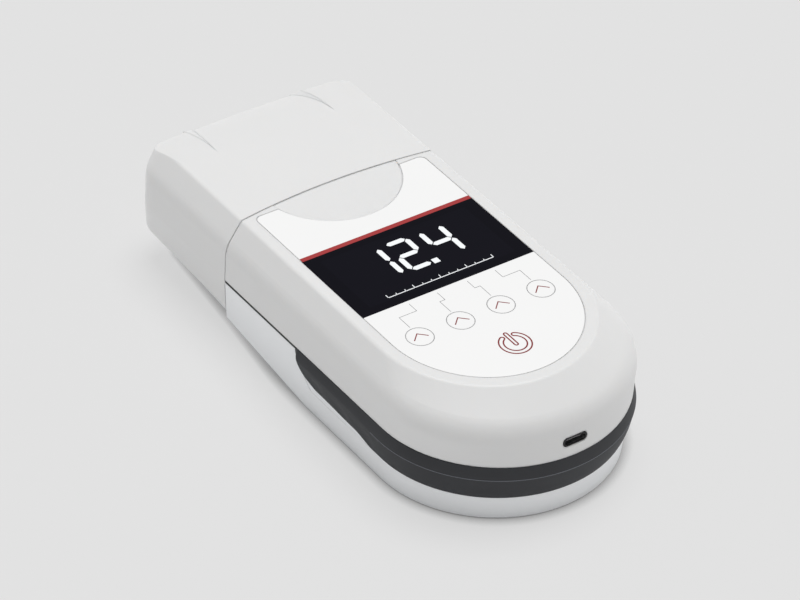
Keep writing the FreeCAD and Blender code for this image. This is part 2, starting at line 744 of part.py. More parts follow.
def sensor(dx, dy):
    # A round metal can with a window towards the well
    inner = block_half - pocket_depth
    a = (dx * inner, well_y + dy * inner, optic_z)
    b = (dx * block_half, well_y + dy * block_half, optic_z)
    can = rod(sensor_radius, a, b)
    return can.cut(rod(2.0, (0, well_y, optic_z), (dx * (inner + 0.5), well_y + dy * (inner + 0.5), optic_z)))


def main_board():
    z = board_z()
    tip = board_tip
    half = board_half
    side = tip + board_nose
    flat = board_flat
    edges = [Part.LineSegment(V(-half, board_back, z), V(-half, side, z)).toShape(),
             quarter(-half, side, -flat, tip, -half, tip, z),
             Part.LineSegment(V(-flat, tip, z), V(flat, tip, z)).toShape(),
             quarter(flat, tip, half, side, half, tip, z),
             Part.LineSegment(V(half, side, z), V(half, board_back, z)).toShape(),
             Part.LineSegment(V(half, board_back, z), V(-half, board_back, z)).toShape()]
    board = Part.Face(Part.Wire(edges)).extrude(V(0, 0, board_thick))
    for x, y in board_posts():
        board = board.cut(rod(small_hole, (x, y, z - 1), (x, y, z + 3)))
    for x, y, a, b, c in board_chips:
        board = board.fuse(box(x - a / 2, x + a / 2, y - b / 2, y + b / 2, z + board_thick, z + board_thick + c))
    return board.removeSplitter()


def usb_socket():
    y0 = port_face_y() + port_recess
    shell = port_shape(plug_shell_width, plug_shell_high, y0, y0 + plug_shell_long)
    shell = shell.cut(port_shape(plug_shell_width - 0.6, plug_shell_high - 0.6, y0 - 1, y0 + plug_shell_long - 1.0))
    tongue = box(-3.3, 3.3, y0 + 0.8, y0 + plug_shell_long - 0.5, port_z - 0.35, port_z + 0.35)
    return join(shell, tongue)


def port_face_y():
    # Where the sloping nose wall stands at the height of the connector
    t = (port_z - waist_z) / (crease_z - waist_z)
    return waist_tip + crease_tip_back * t


def ui_board():
    z = ui_top - board_thick
    board = box(-ui_half, ui_half, ui_front, ui_back, z, ui_top)
    front = [e for e in board.Edges if e.BoundBox.ZLength > 1 and e.BoundBox.YMin < ui_front + 1]
    board = board.makeFillet(ui_corner, front)
    for x, y in ui_posts():
        board = board.cut(rod(small_hole, (x, y, z - 1), (x, y, z + 3)))
    return board


def display_module():
    y0 = display_y0 + 1.4
    y1 = display_y1 - 1.4
    frame = box(-view_half - 1.5, view_half + 1.5, y0, y1, ui_top, height - wall)
    frame = frame.cut(box(-view_half, view_half, y0 + 2.0, y1 - 2.0, height - wall - 0.6, height))
    return frame


def dome_sheet():
    top = ui_top + dome_sheet_thick
    side = 1.5 * key_pitch + key_radius + 0.9
    y1 = key_y + key_radius + 2.5
    sheet = box(-side, side, key_y - key_radius - 1.5, y1, ui_top, top)
    reach = power_radius + 2.4
    sheet = join(sheet, box(-reach, reach, power_y - power_radius - 1.4, y1, ui_top, top))
    for x, y, r in key_places():
        sheet = sheet.fuse(Part.makeCone(dome_radius, dome_top, dome_high, V(x, y, top)))
    return sheet.removeSplitter()


def key(x, y, radius):
    # A flush key zone of the panel on its plunger
    cap = rod(radius - key_gap, (x, y, height - panel_thick), (x, y, height))
    low = height - panel_thick - key_plate
    plate = rod(radius - key_gap, (x, y, low), (x, y, height - panel_thick))
    foot = ui_top + dome_sheet_thick + dome_high + key_travel + key_rest
    return join(cap, plate, rod(stem_radius, (x, y, foot), (x, y, low)))


def keypad_overlay():
    sheet = panel_slab(0.0, panel_thick).common(box(-far, far, -far, display_y0, 0, far))
    for x, y, r in key_places():
        sheet = sheet.cut(rod(r, (x, y, 0), (x, y, far)))
    return sheet


def top_overlay():
    sheet = panel_slab(0.0, panel_thick).common(box(-far, far, display_y1, far, 0, far))
    return sheet.cut(rod(scoop_radius + 0.3, (0, scoop_front + scoop_radius, 0), (0, scoop_front + scoop_radius, far)))


def display_window():
    return box(-panel_half, panel_half, display_y0, display_y1, height - glass_thick, height)


def cell_z():
    return foot_proud + door_thick + cell_lift + cell_radius


def cell_x(i):
    return (i - (cell_count - 1) / 2) * cell_pitch


def cells():
    made = []
    z = cell_z()
    y0 = bay_front + cell_end + 0.6
    y1 = bay_front + cell_end + cell_long - cell_step
    for i in range(cell_count):
        x = cell_x(i)
        tip, way = (y0, -1) if i % 2 else (y1, 1)
        can = rod(cell_radius, (x, y0, z), (x, y1, z))
        made.append(join(can, rod(cell_button, (x, tip, z), (x, tip + way * cell_step, z))))
    return Part.makeCompound(made)


def cell_contacts():
    # Sprung steel leaves at both ends of the cells
    made = []
    z = cell_z()
    reach = cell_pitch * 0.82
    for y in (bay_front, bay_front + bay_long - contact_thick):
        for x in (-cell_pitch, cell_pitch):
            made.append(box(x - reach, x + reach, y, y + contact_thick, z - contact_half, z + contact_half))
    return Part.makeCompound(made)


def cell_springs():
    # One short sleeve for each cell's coil, against its flat end
    made = []
    z = cell_z()
    for i in range(cell_count):
        x = cell_x(i)
        y0 = bay_front + contact_thick
        y1 = bay_front + cell_end + 0.6
        if i % 2:
            y0 = bay_front + cell_end + cell_long - cell_step
            y1 = bay_front + bay_long - contact_thick
        hole = rod(spring_bore, (x, y0 - 1, z), (x, y1 + 1, z))
        made.append(rod(spring_radius, (x, y0, z), (x, y1, z)).cut(hole))
    return Part.makeCompound(made)


def battery_door():
    ledge = bay_half() + door_lap - door_gap
    y0 = bay_front - door_lap + door_gap
    y1 = bay_front + bay_long + door_lap - door_gap
    door = box(-ledge, ledge, y0, y1, foot_proud, foot_proud + door_thick)
    top = foot_proud + door_thick
    y = door_screw_y()
    tab = rod(door_tab, (0, y, foot_proud), (0, y, top))
    door = join(door, tab, box(-door_tab, door_tab, y1 - 1.0, y, foot_proud, top))
    door = door.cut(rod(door_screw_radius + 0.3, (0, y, 0), (0, y, far)))
    door = door.cut(rod(door_screw_head + 0.2, (0, y, 0), (0, y, foot_proud + door_head_room)))
    for i in range(grip_count):
        y = y0 + grip_first + i * grip_pitch
        door = door.cut(rod(0.6, (-grip_half, y, foot_proud), (grip_half, y, foot_proud)))
    return door


def door_tab_room():
    r = door_tab + door_gap
    y = door_screw_y()
    return join(rod(r, (0, y, -1), (0, y, foot_proud + door_thick)),
                box(-r, r, bay_front + bay_long, y, -1, foot_proud + door_thick))


def screw(x, y, z_head, z_end, head_r, shank_r, head_high):
    # Pan head below, shank going up
    head = rod(head_r, (x, y, z_head), (x, y, z_head + head_high))
    shank = rod(shank_r, (x, y, z_head + head_high), (x, y, z_end))
    slot = box(x - head_r, x + head_r, y - 0.35, y + 0.35, z_head - 1, z_head + head_high * 0.45)
    return head.fuse(shank).removeSplitter().cut(slot)


def housing_screws():
    return Part.makeCompound([screw(x, y, head_deep - 2.0, waist_z + screw_bite, screw_head, screw_radius, 2.0)
                              for x, y in screw_spots])


def board_screws():
    made = []
    top = board_z() + board_thick
    for x, y in board_posts():
        head = rod(small_head, (x, y, top), (x, y, top + small_head_high))
        made.append(head.fuse(rod(pilot_radius, (x, y, board_z() - board_screw_bite), (x, y, top))).removeSplitter())
    return Part.makeCompound(made)


def ui_screws():
    made = []
    low = ui_top - board_thick
    for x, y in ui_posts():
        head = rod(small_head, (x, y, low - small_head_high), (x, y, low))
        made.append(head.fuse(rod(pilot_radius, (x, y, low), (x, y, ui_top + ui_screw_bite))).removeSplitter())
    return Part.makeCompound(made)


def feet():
    made = []
    for x, y in foot_spots:
        made.append(Part.makeCone(foot_radius - foot_taper, foot_radius, foot_thick, V(x, y, 0)))
    return made


def lid_magnet_y():
    return seam_y(magnet_x - magnet_radius)


def body_magnet_y():
    return seam_y(magnet_x + magnet_radius) - lid_gap - magnet_thick


def magnets(y):
    z = height - magnet_drop
    places = (-magnet_x, magnet_x)
    return Part.makeCompound([rod(magnet_radius, (x, y, z), (x, y + magnet_thick, z)) for x in places])


def sensor_board():
    # An upright board behind the scattered-light sensor
    y = well_y - block_half
    half = block_half - 5.0
    return box(-half, half, y - board_thick, y, block_z0, block_z1)


def ribbon():
    # Flat cable from the main board down to the sensor board
    low = board_z() + board_thick
    top = low + cable_thick
    y = well_y - block_half - board_thick
    flat = box(-cable_half, cable_half, board_back - 2.0, y, low, top)
    return join(flat, box(-cable_half, cable_half, y - cable_thick, y, optic_z + sensor_radius, top))


def export(name, shape):
    if not shape.isValid():
        print("not valid:", name)
    shape.exportStep("parts/" + name + ".step")


def build():
    outer = hull(0.0, True)
    pieces = {
        "top_shell": top_shell(outer),
        "bottom_shell": bottom_shell().cut(door_tab_room()),
        "lid_shell": lid_shell(outer),
        "lid_liner": lid_liner(),
        "lid_seal": lid_ring_seal(),
        "hinge_pin": rod(pin_radius, (-pin_half, hinge_y, hinge_z), (pin_half, hinge_y, hinge_z)),
        "bumper": bumper(),
        "joint_seal": seal(),
        "keypad_overlay": keypad_overlay(),
        "top_overlay": top_overlay(),
        "display_window": display_window(),
        "display_module": display_module(),
        "ui_board": ui_board(),
        "dome_sheet": dome_sheet(),
        "main_board": main_board(),
        "usb_socket": usb_socket(),
        "sample_well": sample_well(),
        "optics_block": optics_block(),
        "light_source": light_source(),
        "source_lens": source_lens(),
        "transmission_sensor": sensor(1, 0),
        "scatter_sensor": sensor(0, -1),
        "sensor_board": sensor_board(),
        "ribbon_cable": ribbon(),
        "battery_cells": cells(),
        "cell_contacts": cell_contacts(),
        "cell_springs": cell_springs(),
        "battery_door": battery_door(),
        "door_screw": screw(0, door_screw_y(), foot_proud + 0.1, foot_proud + 0.1 + door_screw_long,
                            door_screw_head, door_screw_radius, door_head_room - 0.1),
        "housing_screws": housing_screws(),
        "main_board_screws": board_screws(),
        "ui_board_screws": ui_screws(),
        "lid_magnets": magnets(lid_magnet_y()),
        "body_magnets": magnets(body_magnet_y()),
    }
    for number, (x, y, r) in enumerate(key_places(), 1):
        pieces["power_key" if number == 5 else "key_" + str(number)] = key(x, y, r)
    for number, foot in enumerate(feet(), 1):
        pieces["foot_" + str(number)] = foot
    return pieces


os.makedirs("parts", exist_ok=True)
for name, shape in build().items():
    export(name, shape)
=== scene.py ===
import math

import bmesh
import bpy
from mathutils import Matrix, Vector


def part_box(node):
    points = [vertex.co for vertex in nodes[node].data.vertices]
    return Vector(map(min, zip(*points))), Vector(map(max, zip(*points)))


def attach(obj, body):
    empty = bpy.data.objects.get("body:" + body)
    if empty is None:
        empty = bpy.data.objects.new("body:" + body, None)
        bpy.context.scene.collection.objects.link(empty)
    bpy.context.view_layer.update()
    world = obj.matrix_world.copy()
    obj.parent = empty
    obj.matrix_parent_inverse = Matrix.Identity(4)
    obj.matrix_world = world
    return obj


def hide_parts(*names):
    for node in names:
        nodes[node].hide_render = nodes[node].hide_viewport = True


bl_info = {
    "name": "Portable turbidimeter",
    "version": (1, 0, 0),
    "blender": (4, 5, 0),
    "location": "3D View > Sidebar > Turbidimeter",
    "description": "Finishes a hand-held turbidimeter around its packed frame",
    "category": "Object",
}

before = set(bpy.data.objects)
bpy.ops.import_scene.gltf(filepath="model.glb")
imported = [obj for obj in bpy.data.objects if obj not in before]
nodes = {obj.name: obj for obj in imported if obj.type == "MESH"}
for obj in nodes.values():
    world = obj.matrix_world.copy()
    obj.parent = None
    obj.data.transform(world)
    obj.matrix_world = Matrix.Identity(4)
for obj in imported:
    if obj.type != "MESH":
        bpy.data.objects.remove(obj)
MM = 0.001

# Which nodes share a finish
SHELL_NODES = ("top_shell", "lid_shell")
LOWER_NODES = ("bottom_shell", "battery_door")
FILM_NODES = ("keypad_overlay", "top_overlay")
KEY_NODES = ("key_1", "key_2", "key_3", "key_4")
POWER_NODE = "power_key"
BLACK_NODES = ("lid_liner", "display_module", "sample_well", "optics_block")
RUBBER_NODES = ("lid_seal", "joint_seal")
FOOT_NODES = ("foot_1", "foot_2", "foot_3", "foot_4")
STEEL_NODES = ("hinge_pin", "usb_socket", "transmission_sensor", "scatter_sensor", "cell_contacts",
               "cell_springs", "door_screw", "housing_screws", "main_board_screws", "ui_board_screws")
BOARD_NODES = ("ui_board", "main_board", "sensor_board")
LENS_NODES = ("light_source", "source_lens")
MAGNET_NODES = ("lid_magnets", "body_magnets")

# Sizes and places below are in millimetres

# The lower shell's outline at its base and at the joint, as part.py has it: height, half width,
# place of the nose's tip, and how far the round nose reaches past the straight sides
BASE_RING = (0.6, 43.7, -94.976, 42.2)
JOINT_RING = (22.85, 45.25, -96.776, 42.9)
# The handle of a cubic that draws a quarter of a circle, as a share of the radius
CIRCLE_HANDLE = 0.5523
# Points along a straight side and round half the nose, and how they crowd towards the bumper's ends
PATH_STEPS = 96
PATH_CROWDING = 1.6

# The slanting ends of the bumper's bed in side view, from the joint down: height and place
BED_ENDS = ((22.85, -6.0), (15.45, -7.61), (9.4, -13.0))
BED_CORNER = 0.01
BED_DEPTH = 1.3
# The ends of the rubber itself, which laps over the bed's end at the top
BUMPER_ENDS = ((22.85, -4.2), (15.45, -6.4), (9.4, -14.0))
# The rubber's section from the joint down: height and how far it stands off the shell
BUMPER_SECTION = (
    (22.85, -0.1), (22.82, 0.04), (22.72, 0.14), (22.5, 0.24), (22.15, 0.36), (21.6, 0.55), (20.9, 0.79),
    (20.1, 1.05), (19.4, 1.25), (18.85, 1.38), (18.0, 1.44), (17.0, 1.42), (16.0, 1.37), (15.0, 1.29),
    (14.0, 1.2), (13.0, 1.07), (12.2, 0.92), (11.4, 0.73), (10.7, 0.53), (10.1, 0.33), (9.7, 0.17),
    (9.5, 0.06), (9.4, -0.1))
# The band narrows towards its ends in two steps: share of its width, place where it starts, and length
NARROWING = ((0.12, -48.0, 10.0), (0.05, -38.0, 20.0))
# Over this length the rubber's face falls to the shell at its ends
END_FADE = 2.2
# The ridge: height of its middle, how far the face under it stands off, its rows as shares of its half
# width, their clearance to other rows, where it starts and over what length it rises
RIDGE_Z = 18.2
RIDGE_FACE = 1.43
RIDGE_ROWS = (1.0, 0.7, 0.35, 0.0, -0.35, -0.7, -1.0)
RIDGE_CLEAR = 0.05
RIDGE_START = -47.0
RIDGE_RISE = 6.0
# Painted highlight along the ridge's top, a band painted lighter: its half width as a share of the ridge's width,
# and where it starts
HIGHLIGHT_SHARE = 0.42
HIGHLIGHT_START = -49.0
# The finger grips: place and height of the first, pitch, reach along and upwards, and where their rounded
# edge ends, in shares of that reach
GRIP_PLACE = (-17.0, 12.9)
GRIP_PITCH = 14.0
GRIP_REACH = (6.2, 4.3)
GRIP_EDGE = 1.15
# The bed's filler: height of its foot, its own height, how far its two faces lie under the shell's, its
# clearance to the bed's end, where it stops under the rubber, and the steps in its height
FILLER_FOOT = 9.42
FILLER_HEIGHT = 10.6
FILLER_SUNK = (0.01, 1.2)
FILLER_CLEAR = 0.05
FILLER_FRONT = -51.0
FILLER_STEPS = 14

# The seam between the lid and the top shell runs round a far centre on the middle line, and its gap lies
# between two radii. The lip in it follows the shells' half width and height from the joint up
SEAM_CENTRE = -208.0
SEAM_RADII = (249.62, 249.8)
SEAM_PROFILE = (
    (44.75, 23.4), (44.6, 32.6), (44.2, 34.6), (43.4, 36.6), (42.5, 38.2), (38.6, 42.9), (37.7, 43.68))
LIP_DEPTH = 1.4
# At the finger dish the lip steps down, from outside the dish's edge to inside it, to below its floor
LIP_STEP = (0.3, 0.1)
LIP_SUNK = 0.08
# The dish: radius, distance from the display, the place of its far edge, height of its floor at the round
# edge and at the far one, the floor's underside, and its clearance all round
DISH_RADIUS = 25.3
DISH_NEAR = 9.75
DISH_FAR = 42.0
DISH_TOPS = (43.6, 43.84)
DISH_UNDERSIDE = 43.0
DISH_CLEAR = 0.03

# The lid's far edge rolls down, and its middle more, as part.py has it: place where each roll starts, and
# its radius; then the middle's half width
TOP = 44.0
LID_ROLL = (75.0, 56.0)
SADDLE_ROLL = (74.5, 51.5)
SADDLE_HALF = 23.8
# The ramps that ease the step between the two: their ends, steps, width over height, lap into the lid, how
# far the head lies under the lid's top and the foot over the saddle, and their depth under the saddle
RAMP_ENDS = (76.0, 96.89)
RAMP_STEPS = 32
RAMP_RATIO = 6.0
RAMP_LAP = 0.03
RAMP_HEAD = 0.01
RAMP_FOOT = 0.005
RAMP_DEPTH = 0.3

# Painted shade in the port's mouth: a black ring where the opening lies in shadow
# The ring: half width and half height outside and inside, and its two faces before the socket
SHADE_RING_OUTER = (4.78, 1.63)
SHADE_RING_INNER = (4.0, 1.2)
SHADE_RING_FACES = (0.4, 0.05)

# The print: how deep the ink is rooted, and how far the stripe laps over the display
INK_ROOT = 0.01
STRIPE_LAP = 0.6
# The leader lines: where they start, their gaps to the display and to the keys, their bend, and how far the
# rings lie outside the keys
LEADER_STARTS = (-17.2, -5.97, 5.97, 17.2)
LEADER_GAPS = (1.5, 1.1)
LEADER_BEND = 4.3
RING_CLEAR = 0.22
# The chevron: half width, and how far its tip and its feet lie from the key's middle
CHEVRON = (2.8, 1.7, 0.95)
# The standby sign: how far it sits below the key's middle, its ring's radii, half the ring's opening in
# degrees, the bar's half width and two ends, and its line as a share of a mark's
SIGN_DROP = 0.2
SIGN_RADII = (5.4, 3.85)
SIGN_OPENING = 30.0
SIGN_BAR = (0.62, -0.5, 5.4)
SIGN_LINE = 1.35
# The film ring over the power key's gap: how far outside the key its middle runs, width and height
COVER_RING = (0.05, 0.3, 0.012)

# The display: how far its printed border reaches in from the window's sides and ends
BORDER = (5.0, 3.4)
# The reading and, in shares of a digit's height, a digit's width, its bars' width, the gap between digits,
# the room for the point, and how far the foot lies under the window's middle
READING = "12.4"
DIGIT_WIDTH = 0.52
DIGIT_BAR = 0.13
DIGIT_GAP = 0.24
POINT_ROOM = 0.14
DIGIT_FOOT = 0.32
# The point's half width, and the gap between two bars, as shares of a bar's width
POINT_SIZE = 0.62
BAR_GAP = 0.12
SEGMENTS = {"0": "abcdef", "1": "bc", "2": "abged", "3": "abgcd", "4": "fgbc", "5": "afgcd", "6": "afgedc",
            "7": "abc", "8": "abcdefg", "9": "abcdfg"}
# The scale: height over the window's edge, half length, spaces, long and short ticks, and their widths
SCALE_RISE = 4.6
SCALE_REACH = 21.0
SCALE_SPACES = 12
SCALE_TICKS = (1.6, 0.9)
SCALE_LINE = 0.35
TICK_LINE = 0.3

# The photograph's camera: its place, and its azimuth, elevation and roll in degrees
CAMERA_PLACE = Vector((-670.9, -887.2, 871.9))
CAMERA_TURNS = (-37.08, 37.42, 3.31)
# From the object towards the key light, and the spread of the light in degrees
KEY_WAY = Vector((0.18, 0.16, 0.96))
KEY_SPREAD = 38.0
# The floor's half width in metres, and the tone left in the narrow shadow on it
FLOOR_REACH = 6.0
SHADOW_TONE = 0.1


# Shader writing
class Value:
    """A shader value that takes part in sums like a number."""

    def __init__(self, paint, socket):
        self.paint = paint
        self.socket = socket

    def math(self, operation, *values):
        return self.paint.node("ShaderNodeMath", {"operation": operation}, dict(enumerate(values)))

    def __add__(self, other):
        return self.math("ADD", self, other)

    def __radd__(self, other):
        return self.math("ADD", other, self)

    def __sub__(self, other):
        return self.math("SUBTRACT", self, other)

    def __rsub__(self, other):
        return self.math("SUBTRACT", other, self)

    def __mul__(self, other):
        return self.math("MULTIPLY", self, other)

    def __rmul__(self, other):
        return self.math("MULTIPLY", other, self)

    def __gt__(self, other):
        return self.math("GREATER_THAN", self, other)

    def __lt__(self, other):
        return self.math("LESS_THAN", self, other)

    def within(self, middle, half):
        return self.math("COMPARE", self, middle, half)


class Paint:
    """One material and its nodes."""

    def __init__(self, name, roughness=0.5, **constants):
        self.material = bpy.data.materials.new(name)
        self.material.use_nodes = True
        self.tree = self.material.node_tree
        self.shader = self.tree.nodes["Principled BSDF"]
        self.output = self.tree.nodes["Material Output"]
        self.put(self.shader, {"Roughness": roughness, **constants})

    def put(self, node, inputs):
        for key, value in inputs.items():
            socket = node.inputs[key]
            if isinstance(value, Value):
                self.tree.links.new(value.socket, socket)
            else:
                socket.default_value = value

    def node(self, kind, settings=None, inputs=None, output=0):
        made = self.tree.nodes.new(kind)
        for key, value in (settings or {}).items():
            if key == "stops":
                ramp = made.color_ramp
                ramp.elements[0].position, ramp.elements[0].color = value[0]
                ramp.elements[1].position, ramp.elements[1].color = value[-1]
                for place, colour in value[1:-1]:
                    ramp.elements.new(place).color = colour
            else:
                setattr(made, key, value)
        self.put(made, inputs or {})
        return Value(self, made.outputs[output])

    def place(self):
        return self.node("ShaderNodeTexCoord", output="Object")

    def axes(self):
        split = self.node("ShaderNodeSeparateXYZ", inputs={0: self.place()})
        return [Value(self, socket) for socket in split.socket.node.outputs]

    def noise(self, scale, detail=2.0, stretch=None):
        place = self.place()
        if stretch:
            place = self.node("ShaderNodeMapping", inputs={"Vector": place, "Scale": stretch})
        inputs = {"Vector": place, "Scale": scale, "Detail": detail}
        return self.node("ShaderNodeTexNoise", inputs=inputs, output="Fac")

    def mix(self, factor, first, second):
        made = self.node("ShaderNodeMix", {"data_type": "RGBA"}, {}, output=2)
        self.put(made.socket.node, {0: factor, 6: first, 7: second})
        return made

    def cells(self, scale):
        inputs = {"Vector": self.place(), "Scale": scale}
        return self.node("ShaderNodeTexVoronoi", {"feature": "F1"}, inputs, output="Distance")

    def bump(self, height, strength, depth, normal=None):
        inputs = {"Height": height, "Strength": strength, "Distance": depth}
        if normal is not None:
            inputs["Normal"] = normal
        self.put(self.shader, {"Normal": self.node("ShaderNodeBump", inputs=inputs)})

    def colour(self, value):
        self.put(self.shader, {"Base Color": value})

    def roughness(self, value):
        self.put(self.shader, {"Roughness": value})


def rgb(colour, share=1.0):
    return (colour[0] * share, colour[1] * share, colour[2] * share, 1.0)


def moulded_plastic(name, colour, rough, grain, edge=0.3, depth=0.0):
    """Fine spark-eroded texture, with the slight cloudiness of a thick moulding and its softened edges.

    grain and edge are lengths in millimetres, and depth is the share of the light that goes under the surface.
    """
    paint = Paint(name, **{"IOR": 1.46, "Specular IOR Level": 0.4, "Subsurface Weight": depth,
                           "Subsurface Radius": (1.0, 0.95, 0.9), "Subsurface Scale": 1.0 * MM})
    cloud = paint.noise(28.0, 3.0)
    paint.colour(paint.mix(cloud, rgb(colour, 0.985), rgb(colour, 1.01)))
    fine = paint.noise(1.0 / (grain * MM), 2.0)
    pits = paint.cells(0.7 / (grain * MM))
    paint.roughness(rough - 0.05 + 0.06 * fine + 0.04 * cloud)
    soft = paint.node("ShaderNodeBevel", {"samples": 4}, {"Radius": edge * MM})
    paint.bump(fine + 0.5 * pits, 0.12, 0.02 * MM, soft)
    return paint.material


def printed_film(name, colour):
    """Polyester film: even, a little glossier than the shells, with a very fine matt coat."""
    paint = Paint(name, **{"IOR": 1.5, "Specular IOR Level": 0.35})
    fine = paint.noise(5200.0, 1.0)
    slow = paint.noise(60.0, 2.0)
    paint.colour(paint.mix(slow, rgb(colour, 0.995), rgb(colour, 1.005)))
    paint.roughness(0.36 + 0.05 * fine)
    paint.bump(fine, 0.05, 0.01 * MM)
    return paint.material


def ink(name, colour, rough=0.45):
    paint = Paint(name, **{"Specular IOR Level": 0.3})
    speck = paint.noise(3800.0, 1.0)
    paint.colour(paint.mix(speck, rgb(colour, 0.92), rgb(colour, 1.06)))
    paint.roughness(rough - 0.03 + 0.06 * speck)
    return paint.material


def display_glass(name, border, middle):
    """Black tinted window over the display, its middle a shade lighter than its printed border and streaked with
    painted reflection.
    """
    paint = Paint(name, **{"IOR": 1.45, "Specular IOR Level": 0.07})
    low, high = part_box("display_window")
    centre, half = (low + high) / 2, (high - low) / 2
    x, y, _ = paint.axes()
    inside = x.within(centre.x, half.x - BORDER[0] * MM) * y.within(centre.y, half.y - BORDER[1] * MM)
    smudge_and_reflection = paint.noise(45.0, 3.0, stretch=(1.0, 3.0, 1.0))
    # Painted reflection: stretched noise streaks the middle's tone; the same noise varies the roughness like
    # smudges
    paint.colour(paint.mix(inside * (0.6 + 0.8 * smudge_and_reflection), rgb(border), rgb(middle)))
    paint.roughness(0.09 + 0.07 * smudge_and_reflection)
    return paint.material


def soft_rubber(name, colour, grain=0.5, rough=0.62, painted_highlight=None):
    """Matt rubber. The last argument, if given, holds the height, half width and start of a painted highlight, a
    band along the ridge's top painted lighter.
    """
    paint = Paint(name, **{"Specular IOR Level": 0.35})
    fine = paint.noise(1.0 / (grain * MM), 3.0)
    bloom = paint.noise(70.0, 4.0)
    tone = paint.mix(bloom, rgb(colour, 0.92), rgb(colour, 1.12))
    if painted_highlight:
        _, y, z = paint.axes()
        height, half, start = painted_highlight
        # Painted highlight: the band along the ridge's top takes five times the rubber's colour
        tone = paint.mix(z.within(height, half) * (y < start) * (0.7 + 0.3 * bloom), tone, rgb(colour, 5.0))
    paint.colour(tone)
    paint.roughness(rough - 0.06 + 0.12 * fine)
    paint.bump(fine, 0.3, 0.03 * MM)
    return paint.material


def plated_steel(name, colour=(0.62, 0.62, 0.63), rough=0.28):
    paint = Paint(name, Metallic=1.0)
    brushed = paint.noise(900.0, 3.0, stretch=(1.0, 0.08, 1.0))
    paint.colour(paint.mix(brushed, rgb(colour, 0.9), rgb(colour, 1.05)))
    paint.roughness(rough - 0.05 + 0.14 * brushed)
    paint.bump(brushed, 0.1, 0.01 * MM)
    return paint.material


def circuit_board(name):
    """Green solder mask over a faint pattern of tracks."""
    paint = Paint(name, **{"Specular IOR Level": 0.5})
    x, _, _ = paint.axes()
    lanes = x.math("PINGPONG", x * 780.0, 1.0) > 0.62
    blocks = paint.cells(120.0) > 0.5
    mask = lanes * blocks
    paint.colour(paint.mix(mask, (0.012, 0.095, 0.04, 1), (0.03, 0.17, 0.075, 1)))
    paint.roughness(0.34 + 0.1 * paint.noise(500.0))
    paint.bump(mask, 0.3, 0.03 * MM)
    return paint.material


def clear_lens(name):
    paint = Paint(name, **{"IOR": 1.5, "Transmission Weight": 0.9})
    paint.colour(paint.mix(paint.noise(300.0), (0.92, 0.96, 1.0, 1), (0.98, 0.99, 1.0, 1)))
    paint.roughness(0.04 + 0.03 * paint.noise(900.0))
    return paint.material


def cell_jacket(name):
    """Plain dark jacket with a lighter band near one end of each cell."""
    paint = Paint(name, **{"Coat Weight": 0.4, "Coat Roughness": 0.15})
    _, y, _ = paint.axes()
    low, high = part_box("battery_cells")
    band = y.within(high.y - 9.0 * MM, 5.0 * MM)
    paint.colour(paint.mix(band, (0.03, 0.03, 0.035, 1), (0.32, 0.33, 0.34, 1)))
    paint.roughness(0.3 + 0.08 * paint.noise(400.0))
    return paint.material


def flat_cable(name):
    paint = Paint(name)
    x, _, _ = paint.axes()
    lanes = x.math("PINGPONG", x * 1000.0, 0.5) > 0.25
    paint.colour(paint.mix(lanes, (0.72, 0.72, 0.7, 1), (0.85, 0.85, 0.82, 1)))
    paint.roughness(0.4 + 0.08 * paint.noise(600.0))
    return paint.material


def finish(names, material):
    for name in names:
        slots = nodes[name].data.materials
        slots.clear()
        slots.append(material)


# Meshes
def new_object(name, data):
    made = bpy.data.objects.new(name, data)
    bpy.context.scene.collection.objects.link(made)
    return made


def new_piece(name, mesh, body):
    piece = new_object(name, mesh)
    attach(piece, body)
    return piece


class Solids:
    """Gathers closed solids for one piece, each skinned over rings of equally many points.

    unit is the length in metres of one unit of the points. Edges that turn by more than sharp degrees stay sharp.
    """

    sharp = 50.0

    def __init__(self, unit=1.0):
        self.unit = unit
        self.verts = []
        self.faces = []

    def add(self, rings, loop=False):
        base = len(self.verts)
        rings = [list(ring) for ring in rings]
        total, count = len(rings), len(rings[0])
        self.verts += [tuple(v * self.unit for v in point) for ring in rings for point in ring]
        for r in range(total if loop else total - 1):
            here, there = base + r * count, base + (r + 1) % total * count
            for i in range(count):
                n = (i + 1) % count
                self.faces.append((here + i, here + n, there + n, there + i))
        if not loop:
            for start in (base, base + (total - 1) * count):
                self.faces.append(tuple(range(start, start + count)))

    def piece(self, name, material, body, slot):
        mesh = bpy.data.meshes.new(name)
        mesh.from_pydata([Vector(v) for v in self.verts], [], self.faces)
        mesh.materials.append(material)
        build = bmesh.new()
        build.from_mesh(mesh)
        bmesh.ops.remove_doubles(build, verts=build.verts, dist=1e-7)
        bmesh.ops.recalc_face_normals(build, faces=build.faces)
        if self.sharp is not None:
            for face in build.faces:
                face.smooth = True
            for edge in build.edges:
                edge.smooth = edge.calc_face_angle(0.0) < math.radians(self.sharp)
        build.to_mesh(mesh)
        build.free()
        return new_piece(name, mesh, body)


